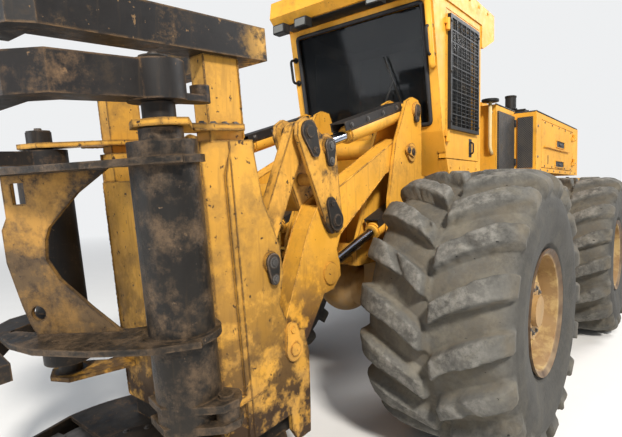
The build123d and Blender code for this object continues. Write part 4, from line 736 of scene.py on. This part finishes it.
def tyre_mesh(axle_x, side, seed):
    """One tyre about the Y axis; lugs trail outward from the middle."""
    bm = bmesh.new()
    half = section_rows()
    rows = half + [(-y, r) for y, r in reversed(half[:-1])]
    columns = LUGS * LUG_CELLS
    grid = []
    for index, (y, r) in enumerate(rows):
        reach = abs(y)
        tread = smooth_step(r, 0.60, 0.74)
        sweep = LUG_SWEEP * (min(reach, TYRE_HALF) / TYRE_HALF) ** 0.72
        before = rows[max(0, index - 1)]
        after = rows[min(len(rows) - 1, index + 1)]
        dy = after[0] - before[0]
        dr = after[1] - before[1]
        length = hypot(dy, dr)
        normal_y = abs(dr) / length * (1 if y > 0 else -1)
        normal_r = abs(dy) / length * (-1 if r < WIDEST_R else 1)
        ends = smooth_step(reach, 0.004, 0.032) * smooth_step(r, 0.660, 0.700)
        line = []
        for c in range(columns):
            angle = 2 * pi * c / columns + sweep
            x = cos(angle) * r
            z = sin(angle) * r
            lift = LUG_HEIGHT * ends * lug_at(c, y, seed)
            rough = 0.0028 * noise.noise(Vector((x * 9, y * 9.0, z * 9 + seed)))
            rough += 0.0014 * tread * noise.noise(Vector((x * 40, y * 40.0, z * 40)))
            radius = min(r + normal_r * (lift + rough), TYRE_R)
            lateral = max(-TYRE_HALF, min(TYRE_HALF, y + normal_y * (lift * 0.5 + rough)))
            line.append(bm.verts.new((SHIFT + axle_x - radius * sin(angle), side * TRACK_Y + lateral,
                                      AXLE_Z + radius * cos(angle))))
        grid.append(line)
    for row, next_row in zip(grid, grid[1:]):
        skin(bm, row, next_row)
    # a lip at each bead closes the gap to the rim
    for line, y in ((grid[0], BEAD_HALF), (grid[-1], -BEAD_HALF)):
        lip = []
        for vert in line:
            dx = vert.co.x - SHIFT - axle_x
            dz = vert.co.z - AXLE_Z
            k = (RIM_R - 0.006) / hypot(dx, dz)
            lip.append(bm.verts.new((SHIFT + axle_x + dx * k, side * TRACK_Y + y * 0.93, AXLE_Z + dz * k)))
        skin(bm, line, lip)
    return bm


DISH_Y = TRACK_Y + 0.250
HUB_BOLTS = 12
HUB_BOLT_R = 0.130
for seed, (where, axle_x, side) in enumerate((("front_left", 0.0, 1), ("front_right", 0.0, -1),
                                              ("rear_left", -WHEELBASE, 1), ("rear_right", -WHEELBASE, -1))):
    wheel = where + "_wheel"
    finish = "tyre_" + where[:where.index("_")]
    piece(where + "_tyre_dressed", tyre_mesh(axle_x, side, seed * 7.3), finish, wheel,
          replaces=(where + "_tyre",))
    # the hub's bolts and the valve stem in the dish
    bm = bmesh.new()
    for n in range(HUB_BOLTS):
        a = 2 * pi * (n + 0.5) / HUB_BOLTS
        place = at(axle_x + HUB_BOLT_R * cos(a), side * (DISH_Y + 0.055), AXLE_Z + HUB_BOLT_R * sin(a))
        bolt(bm, place, (0, side, 0), 0.010, 0.012)
    valve = at(axle_x + 0.30, side * DISH_Y, AXLE_Z + 0.02)
    stem = [valve, valve + Vector((0, side * 0.05, 0)), valve + Vector((-0.03, side * 0.075, 0))]
    tube(bm, rounded(stem, 0.02), 0.006, 8)
    piece(where + "_hub_bolts", bm, "bolt", wheel, False)

# Side windows: thin wires between the guards' own bars, which take every third place, and bolts.
SIDE_REAR = -0.910
SIDE_FRONT = -0.400
SIDE_LOW = 2.000
SIDE_HIGH = 2.770
WIRE_R = 0.0028
for side, body, name in ((1, "entry_door", "door"), (-1, "front_frame", "right")):
    bm = bmesh.new()
    face = side * (CAB_HALF + 0.021)
    for n in range(1, 18):
        x = SIDE_REAR + (SIDE_FRONT - SIDE_REAR) * n / 18
        if n % 3:
            tube(bm, [at(x, face, SIDE_LOW - 0.004), at(x, face, SIDE_HIGH + 0.004)], WIRE_R, 6)
    for n in range(1, 27):
        z = SIDE_LOW + (SIDE_HIGH - SIDE_LOW) * n / 27
        if n % 3:
            tube(bm, [at(SIDE_REAR - 0.004, face, z), at(SIDE_FRONT + 0.004, face, z)], WIRE_R, 6)
    for x in (SIDE_REAR - 0.012, SIDE_FRONT + 0.012):
        for z in (2.03, 2.385, 2.74):
            bolt(bm, at(x, side * (CAB_HALF + 0.026), z), (0, side, 0), 0.007, 0.006)
    piece(name + "_window_wires", bm, "guard", body)


# Work lamps: housing, bezel and lens.
def lamp(bm, low, high, way):
    """Box lamp whose lens faces along X, forward or back by the sign of way."""
    front = high.x if way > 0 else low.x
    inset = Vector((0.004, 0, 0))
    slab(bm, low + inset * (way < 0), high - inset * (way > 0), 0.007)
    back_x, front_x = sorted((front - way * 0.012, front - way * 0.002))
    slab(bm, (back_x, low.y + 0.009, low.z + 0.009), (front_x, high.y - 0.009, high.z - 0.009), 0.003, 1)
    x = front - way * 0.004
    middle = (low.y + high.y) / 2
    y0, y1 = low.y + 0.007, high.y - 0.007
    z0, z1 = low.z + 0.007, high.z - 0.007
    corners = [(x, middle, z0), (x, y1, z0), (x, y1, z1), (x, y0, z1), (x, y0, z0), (x, middle, z0)]
    tube(bm, rounded(corners, 0.008, 3), 0.0035, 6)


bm = bmesh.new()
for y in (-0.560, -0.330, 0.330, 0.560):
    lamp(bm, at(0.038, y - 0.060, 2.806), at(0.118, y + 0.060, 2.8795), 1)
piece("work_lamps_dressed", bm, "guard lens", "front_frame", False, ("work_lamps",))
bm = bmesh.new()
for y in (-0.56, 0.56):
    lamp(bm, at(-1.345, y - 0.065, 2.84), at(-1.300, y + 0.065, 2.955), -1)
piece("rear_roof_lamps", bm, "guard lens", "front_frame", False)

# Cab: windscreen seal, grab rails, wiper, black slab of painted shade under the roof, door latch and trim.
KNEE = at(-0.290, 0, 1.954)
BROW = at(-0.122, 0, 2.880)
SCREEN_OUT = Vector((0.984, 0.0, -0.1785))
RAIL_Y = 0.618
RAIL_SHARES = (0.56, 0.76)
LATCH_X = -0.81


def on_screen(share, y, out):
    """A point of the cab's sloping front: share of its height, place across, distance out."""
    return KNEE + (BROW - KNEE) * share + Vector((0, y, 0)) + SCREEN_OUT * out


bm = bmesh.new()
border = ((0.06, 0), (0.06, 0.57), (0.94, 0.57), (0.94, -0.57), (0.06, -0.57), (0.06, 0))
tube(bm, rounded([on_screen(share, y, 0.004) for share, y in border], 0.03), 0.016, 8)
piece("windscreen_seal", bm, "seal", "front_frame")
bm = bmesh.new()
for y in (RAIL_Y, -RAIL_Y):
    low, high = RAIL_SHARES
    rail = [on_screen(low, y, -0.004), on_screen(low, y, 0.070),
            on_screen(high, y, 0.070), on_screen(high, y, -0.004)]
    tube(bm, rounded(rail, 0.035), 0.011, 10)
    for share in RAIL_SHARES:
        tube(bm, [on_screen(share, y, -0.002), on_screen(share, y, 0.006)], 0.024, 16)
tube(bm, [on_screen(0.03, 0.10, 0.0), on_screen(0.03, 0.10, 0.034)], 0.018, 12)
wiper = [on_screen(0.03, 0.10, 0.026), on_screen(0.20, 0.20, 0.036), on_screen(0.42, 0.30, 0.020)]
tube(bm, rounded(wiper, 0.08), 0.006, 8)
tube(bm, [on_screen(0.22, 0.36, 0.010), on_screen(0.62, 0.24, 0.010)], 0.007, 6)
# black slab under the roof's overhang: painted shade of the underside
slab(bm, at(-0.105, -0.590, 2.872), at(0.034, 0.590, 2.8795), 0.002)
piece("cab_handles", bm, "guard", "front_frame")
# flap over the door latch and its grip
bm = bmesh.new()
slab(bm, at(-0.838, CAB_HALF - 0.006, 1.790), at(-0.782, CAB_HALF + 0.003, 1.935), 0.003)
grip = [at(LATCH_X, CAB_HALF, 1.815), at(LATCH_X, CAB_HALF + 0.026, 1.825),
        at(LATCH_X, CAB_HALF + 0.026, 1.90), at(LATCH_X, CAB_HALF, 1.91)]
tube(bm, rounded(grip, 0.012, 3), 0.007, 8)
piece("door_latch", bm, "guard", "entry_door")
# strip on the left corner post, and bolts along the roof and low on the left side
bm = bmesh.new()
strip = [on_screen(0.47, 0.622, 0.010), on_screen(0.49, 0.622, 0.026), on_screen(0.95, 0.622, 0.026)]
tube(bm, rounded(strip, 0.02), 0.024, 10, flat=0.7)
for n in range(7):
    for side in (1, -1):
        bolt(bm, at(-1.16 + n * 0.20, side * (CAB_HALF + 0.010), 3.005), (0, side, 0), 0.009, 0.007)
for n in range(4):
    bolt(bm, at(-0.43 - n * 0.17, CAB_HALF, 1.700), (0, 1, 0), 0.008, 0.006)
piece("cab_trim", bm, "body", "front_frame")

# Boom linkage: bolts of the tilt cylinders' guards, pin caps with keepers, and weld beads.
GUARD_HALF = 0.056
GUARD_LIFT = 0.056  # the bolts' distance above the cylinder's line
BOOM_SEAMS = (  # (X, Z) of both ends of each seam
    ((-0.020, 1.8965), (0.104, 1.8555)), ((0.104, 1.8555), (0.805, 1.5125)),
    ((0.905, 1.4605), (0.990, 1.3305)), ((0.990, 1.3305), (1.200, 0.8305)),
    ((0.210, 1.6395), (0.700, 1.2895)),
)


def keeper(bm, pin, face, side, lean, reach, radius, finish=0, bolt_finish=1):
    """Oblong plate over a pin's end, its bolt at the far end; lean is measured up from +X."""
    run = Vector((cos(radians(lean)), 0, sin(radians(lean))))
    square = Vector((-run.z, 0, run.x))
    tip = radius * 0.66
    turns = [pi * n / 12 for n in range(13)]
    outline = [square * cos(a) * radius - run * sin(a) * radius for a in turns]
    outline += [run * (reach + sin(a) * tip) - square * cos(a) * tip for a in turns]
    rings = []
    for out, shrink in ((-0.003, 1.0), (0.009, 1.0), (0.012, 0.93)):
        middle = at(pin[0], side * (face + out), pin[1])
        rings.append([bm.verts.new(middle + p * shrink) for p in outline])
    for one, other in zip(rings, rings[1:]):
        skin(bm, one, other, finish)
    bm.faces.new(rings[-1]).material_index = finish
    end = at(pin[0] + run.x * reach, side * (face + 0.012), pin[1] + run.z * reach)
    bolt(bm, end, (0, side, 0), 0.014, 0.009, bolt_finish)
    bolt(bm, at(pin[0], side * (face + 0.011), pin[1]), (0, side, 0), 0.017, 0.008, bolt_finish)


bm = bmesh.new()
run, square = line_of(TILT_BASE, TILT_EYE)
for side in (1, -1):
    for n in range(4):
        along = 0.130 + 0.690 * (0.10 + 0.27 * n)
        place = at(TILT_BASE[0], side * ARM_Y, TILT_BASE[1]) + run * along + square * GUARD_LIFT
        for way in (side, -side):
            bolt(bm, place + SIDE * way * GUARD_HALF, (0, way, 0), 0.011, 0.009)
piece("tilt_guard_bolts", bm, "bolt", "tilt_barrel_pair", False)
bm = bmesh.new()
for side in (1, -1):
    for (x, z), r, finish in ((BOOM_PIN, 0.064, 2), (TILT_BASE, 0.056, 2), (LIFT_BASE, 0.050, 0)):
        tube(bm, [at(x, side * 0.507, z), at(x, side * 0.521, z)], r, 28, finish)
    keeper(bm, BOOM_PIN, 0.520, side, 8, 0.062, 0.036, 2, 0)
    keeper(bm, TILT_BASE, 0.520, side, -78, 0.070, 0.036, 0, 1)
piece("frame_pin_caps", bm, "pin bolt pin_yellow", "front_frame", False)
for name, pin, lean, body in (("rocker_keepers", TILT_EYE, -94, "rocker_pair"),
                              ("link_keepers", LINK_FOOT, -97, "felling_head")):
    bm = bmesh.new()
    for side in (1, -1):
        keeper(bm, pin, KEEPER_SEAT, side, lean, 0.082, 0.044)
    piece(name, bm, "pin bolt", body, False)
bm = bmesh.new()
for side in (1, -1):
    for start, end in BOOM_SEAMS:
        for y in (0.358, 0.474):
            bead(bm, at(start[0], side * y, start[1]), at(end[0], side * y, end[1]), 0.005)
piece("boom_welds", bm, "boom", "boom")

# Head: weld beads and bolts of the tower, bolts on the saw's hub cover, and caps on the posts.
TOWER_SEAMS = (  # (across, radius, (out, up) of both ends)
    (0.5055, 0.006, (0.300, -0.32), (0.300, 1.045)), (0.4405, 0.006, (0.410, -0.32), (0.410, 0.895)),
    (0.5050, 0.006, (0.205, 1.094), (0.475, 1.094)), (0.5050, 0.006, (0.205, -0.132), (0.475, -0.132)),
    (0.4705, 0.005, (0.181, 1.06), (0.181, 1.405)), (0.4705, 0.005, (0.369, 1.06), (0.369, 1.405)),
)
SAW_OUT = 0.640
SAW_BOLT_R = 0.165
SAW_BOLTS = 10
bm = bmesh.new()
for side in (1, -1):
    for y, radius, start, end in TOWER_SEAMS:
        bead(bm, in_head(start[0], side * y, start[1]), in_head(end[0], side * y, end[1]), radius)
piece("tower_welds", bm, "tower", "felling_head")
bm = bmesh.new()
for side in (1, -1):
    for out in (0.24, 0.30, 0.36, 0.42):
        bolt(bm, in_head(out, side * 0.487, 1.120), HEAD_UP, 0.012, 0.010)
    for out in (0.08, 0.20, 0.32):
        bolt(bm, in_head(out, side * 0.400, 1.557), HEAD_UP, 0.014, 0.012)
for n in range(SAW_BOLTS):
    a = 2 * pi * n / SAW_BOLTS
    bolt(bm, in_head(SAW_OUT + SAW_BOLT_R * cos(a), SAW_BOLT_R * sin(a), -0.3715), HEAD_UP, 0.012, 0.010)
piece("head_bolts", bm, "bolt", "felling_head", False)
bm = bmesh.new()
for across, up, r in ((TUBE_ACROSS, 1.337, 0.052), (-TUBE_ACROSS, 1.180, 0.056)):
    foot = in_head(TUBE_OUT, across, up)
    tube(bm, [foot - HEAD_UP * 0.004, foot + HEAD_UP * 0.004, foot + HEAD_UP * 0.007], r, 28)
    bolt(bm, foot + HEAD_UP * 0.006, HEAD_UP, 0.019, 0.015)
piece("post_caps", bm, "pin", "felling_head")

# Rear end: latches and ledges of the engine doors, hood strips, handrail, louvres, weight, exhaust.
POST_X = -1.455  # the handrail's upright
FOOT_X = -1.512
POST_Y = 0.585
DOOR_FACE = -4.022  # outer face of the tail door
STACK_X = -2.86
STACK_Y = 0.34


def on_hood(bm, side, box, out, bevel, finish=0):
    """Slab on the hood's side: box is (X, X, Z, Z), out its two distances from the side's face."""
    x0, x1, z0, z1 = box
    y0, y1 = sorted((side * (HOOD_HALF + out[0]), side * (HOOD_HALF + out[1])))
    slab(bm, at(x0, y0, z0), at(x1, y1, z1), bevel, finish)


for side, body, name in ((1, "left_engine_door", "left"), (-1, "right_engine_door", "right")):
    bm = bmesh.new()
    for x0, x1, z0, z1 in ((-3.25, -2.86, 1.995, 2.062), (-3.22, -2.82, 1.775, 1.836)):
        # the near-black slab inside each latch's frame is painted shade of the latch's recess
        on_hood(bm, side, (x0, x1, z0, z1), (-0.010, 0.002), 0.002, 1)
        for edge in ((x0 - 0.008, x1 + 0.008, z1, z1 + 0.010), (x0 - 0.008, x1 + 0.008, z0 - 0.010, z0),
                     (x0 - 0.010, x0, z0 - 0.008, z1 + 0.008), (x1, x1 + 0.010, z0 - 0.008, z1 + 0.008)):
            on_hood(bm, side, edge, (-0.004, 0.009), 0.002)
        middle = (x0 + x1) / 2
        handle = (middle - 0.05, middle + 0.05, z0 + 0.022, z1 - 0.022)
        on_hood(bm, side, handle, (-0.002, 0.013), 0.004, 2)
    on_hood(bm, side, (-3.46, -2.32, 1.958, 1.970), (-0.004, 0.018), 0.003)
    on_hood(bm, side, (-2.515, -2.490, 1.790, 1.885), (-0.006, 0.002), 0.002, 1)
    for n in range(5):
        for z in (1.766, 2.208):
            bolt(bm, at(-2.36 - 0.31 * n, side * HOOD_HALF, z), (0, side, 0), 0.008, 0.006, 2)
    piece(name + "_door_latches", bm, "body seal bolt", body, False)

bm = bmesh.new()
for side in (1, -1):
    tube(bm, [at(-3.955, side * 0.826, HOOD_TOP), at(HOOD_STEP_X, side * 0.826, HOOD_TOP)], 0.009, 8, 1)
    tube(bm, [at(HOOD_STEP_X, side * 0.616, 2.310), at(-1.515, side * 0.616, 2.310)], 0.009, 8, 1)
    y0, y1 = sorted((side * 0.612, side * 0.642))
    slab(bm, at(-2.036, y0, 1.715), at(-2.004, y1, 2.275), 0.003)
    for z in (1.80, 2.18):
        tube(bm, [at(-2.000, side * 0.646, z - 0.035), at(-2.000, side * 0.646, z + 0.035)], 0.010, 10, 1)
    for n in range(7):
        bolt(bm, at(-2.20 - 0.28 * n, side * HOOD_HALF, 1.722), (0, side, 0), 0.008, 0.006, 2)
    for x in (-2.10, -3.88):
        for z in (1.85, 2.15):
            bolt(bm, at(x, side * HOOD_HALF, z), (0, side, 0), 0.009, 0.007, 2)
for start, end in ((-0.82, -0.34), (0.34, 0.82)):
    tube(bm, [at(HOOD_STEP_X, start, HOOD_TOP), at(HOOD_STEP_X, end, HOOD_TOP)], 0.008, 8, 1)
piece("hood_trim", bm, "body seal bolt", "rear_frame")
bm = bmesh.new()
rail = [at(FOOT_X, POST_Y, 1.86), at(-1.462, POST_Y, 1.90),
        at(POST_X, POST_Y, 1.96), at(POST_X, POST_Y, 2.330)]
tube(bm, rounded(rail, 0.05), 0.015, 12)
tube(bm, [at(FOOT_X, POST_Y, 2.24), at(POST_X, POST_Y, 2.24)], 0.010, 10)
tube(bm, [at(POST_X, POST_Y, z) for z in (2.326, 2.332, 2.344, 2.348)], 0.075, 28, 1)
piece("rear_handrail", bm, "cream guard", "rear_frame")
bm = bmesh.new()
for n in range(9):
    turn = Matrix.Translation(at(-4.0235, 0, 1.80 + 0.046 * n)) @ Matrix.Rotation(radians(-32), 4, "Y")
    slab(bm, (-0.030, -0.52, -0.004), (0.004, 0.52, 0.004), 0.002, 0, turn)
for y in (-0.545, 0.545):
    slab(bm, at(-4.040, y - 0.018, 1.775), at(DOOR_FACE + 0.004, y + 0.018, 2.20), 0.003)
for side in (1, -1):
    y = side * 0.70
    slab(bm, at(-4.034, y - 0.055, 1.765), at(DOOR_FACE + 0.004, y + 0.055, 1.835), 0.004, 1)
    slab(bm, at(-4.040, y - 0.045, 1.773), at(-4.030, y + 0.045, 1.827), 0.004, 2)
    for z in (1.86, 2.02, 2.18):
        bolt(bm, at(DOOR_FACE, side * 0.79, z), (-1, 0, 0), 0.009, 0.007, 3)
piece("rear_door_louvres", bm, "body seal red bolt", "tail_door", False)
bm = bmesh.new()
for side in (1, -1):
    for x in (-4.19, -4.03):
        for z in (0.84, 1.215, 1.59):
            bolt(bm, at(x, side * HOOD_HALF, z), (0, side, 0), 0.020, 0.016)
    for y in (0.25, 0.70):
        bolt(bm, at(-4.12, side * y, 1.670), (0, 0, 1), 0.020, 0.016)
    eye = [at(-4.14, side * y, z) for y, z in ((0.52, 1.668), (0.52, 1.720), (0.42, 1.720), (0.42, 1.668))]
    tube(bm, rounded(eye, 0.04), 0.012, 10)
piece("weight_bolts", bm, "bolt", "rear_frame", False)
bm = bmesh.new()
for x in (-3.10, -2.96, -2.83):
    slab(bm, at(x - 0.006, 0.166, 2.441), at(x + 0.006, 0.514, 2.452), 0.002)
tube(bm, [at(STACK_X, STACK_Y, 2.46), at(STACK_X, STACK_Y, 2.475)], 0.072, 28)
tube(bm, [at(STACK_X, STACK_Y, 2.600), at(STACK_X, STACK_Y, 2.6195)], 0.064, 28)
piece("exhaust_bands", bm, "guard", "rear_frame")

# Stage: pale floor and soft studio light.
FLOOR_HALF = 60.0
BACKDROP = (0.86, 0.87, 0.88, 1)


def area_light(name, place, target, size, energy, colour=(1, 1, 1)):
    """Square light at a place, turned to a target."""
    data = bpy.data.lights.new(name, "AREA")
    data.shape = "SQUARE"
    data.size = size
    data.energy = energy
    data.color = colour
    light = show(name, data)
    light.location = place
    light.rotation_euler = (Vector(target) - Vector(place)).to_track_quat("-Z", "Y").to_euler()


floor_mesh = bpy.data.meshes.new("floor")
corners = [(x * FLOOR_HALF, y * FLOOR_HALF, -0.002) for x, y in ((-1, -1), (1, -1), (1, 1), (-1, 1))]
floor_mesh.from_pydata(corners, [], [(0, 1, 2, 3)])
floor = show("floor", floor_mesh)
look = Shade("floor_pale")
grain = look.ramp(look.noise(3, 4), 0.3, 0.7)
look.set("Base Color", look.mix(grain, (0.70, 0.69, 0.67), (0.72, 0.71, 0.69)))
look.set("Roughness", 0.9)
# far from the object the floor goes over into the backdrop's colour
backdrop = look.add("Emission")
backdrop.inputs["Color"].default_value = BACKDROP
meet = look.add("MixShader")
look.link(look.ramp(look.reach_from((0, 0, 0), (1, 0, 0), (0, 1, 0)), 5.0, 16.0), meet.inputs[0])
look.link(look.bsdf.outputs[0], meet.inputs[1])
look.link(backdrop.outputs[0], meet.inputs[2])
look.link(meet.outputs[0], look.out.inputs[0])
floor_mesh.materials.append(look.mat)

# the camera sees the backdrop's colour, while the object is lit by a bluer and weaker sky
world = bpy.data.worlds.new("studio")
world.use_nodes = True
bpy.context.scene.world = world
tree = world.node_tree
tree.nodes.clear()
sky = tree.nodes.new("ShaderNodeBackground")
sky.inputs["Color"].default_value = (0.80, 0.86, 0.95, 1)
sky.inputs["Strength"].default_value = 0.42
seen = tree.nodes.new("ShaderNodeBackground")
seen.inputs["Color"].default_value = BACKDROP
path = tree.nodes.new("ShaderNodeLightPath")
either = tree.nodes.new("ShaderNodeMath")
either.operation = "MAXIMUM"
tree.links.new(path.outputs["Is Camera Ray"], either.inputs[0])
tree.links.new(path.outputs["Is Transmission Ray"], either.inputs[1])
blend = tree.nodes.new("ShaderNodeMixShader")
for socket, value in enumerate((either, sky, seen)):
    tree.links.new(value.outputs[0], blend.inputs[socket])
tree.links.new(blend.outputs[0], tree.nodes.new("ShaderNodeOutputWorld").inputs[0])

area_light("key", (7.5, 9.0, 10.0), (0.5, 0, 1.2), 1.8, 2900, (1.0, 0.96, 0.90))
area_light("fill", (10.0, -3.0, 4.0), (1.0, 0, 1.2), 6.0, 500, (0.92, 0.96, 1.0))
area_light("back", (-9.0, 5.0, 8.0), (-1.0, 0, 1.2), 5.0, 900)

# Camera at the photograph's place.
SENSOR_MM = 36.0
PHOTO_WIDTH = 622.0  # in pixels, as is the focal length
FOCAL = 461.6577
camera_data = bpy.data.cameras.new("camera")
camera_data.sensor_width = SENSOR_MM
camera_data.lens = FOCAL / PHOTO_WIDTH * SENSOR_MM
camera = show("camera", camera_data)
right = Vector((-0.64304739, 0.76569436, -0.01421963))
up = Vector((-0.05256281, -0.0256043, 0.99828932))
back = Vector((0.76402042, 0.64269477, 0.05671182))
turn = Matrix((right, up, back)).transposed().to_4x4()
camera.matrix_world = Matrix.Translation(at(2.85560, 2.06214, 1.52922)) @ turn
bpy.context.scene.camera = camera
bpy.context.scene.view_settings.view_transform = "Standard"
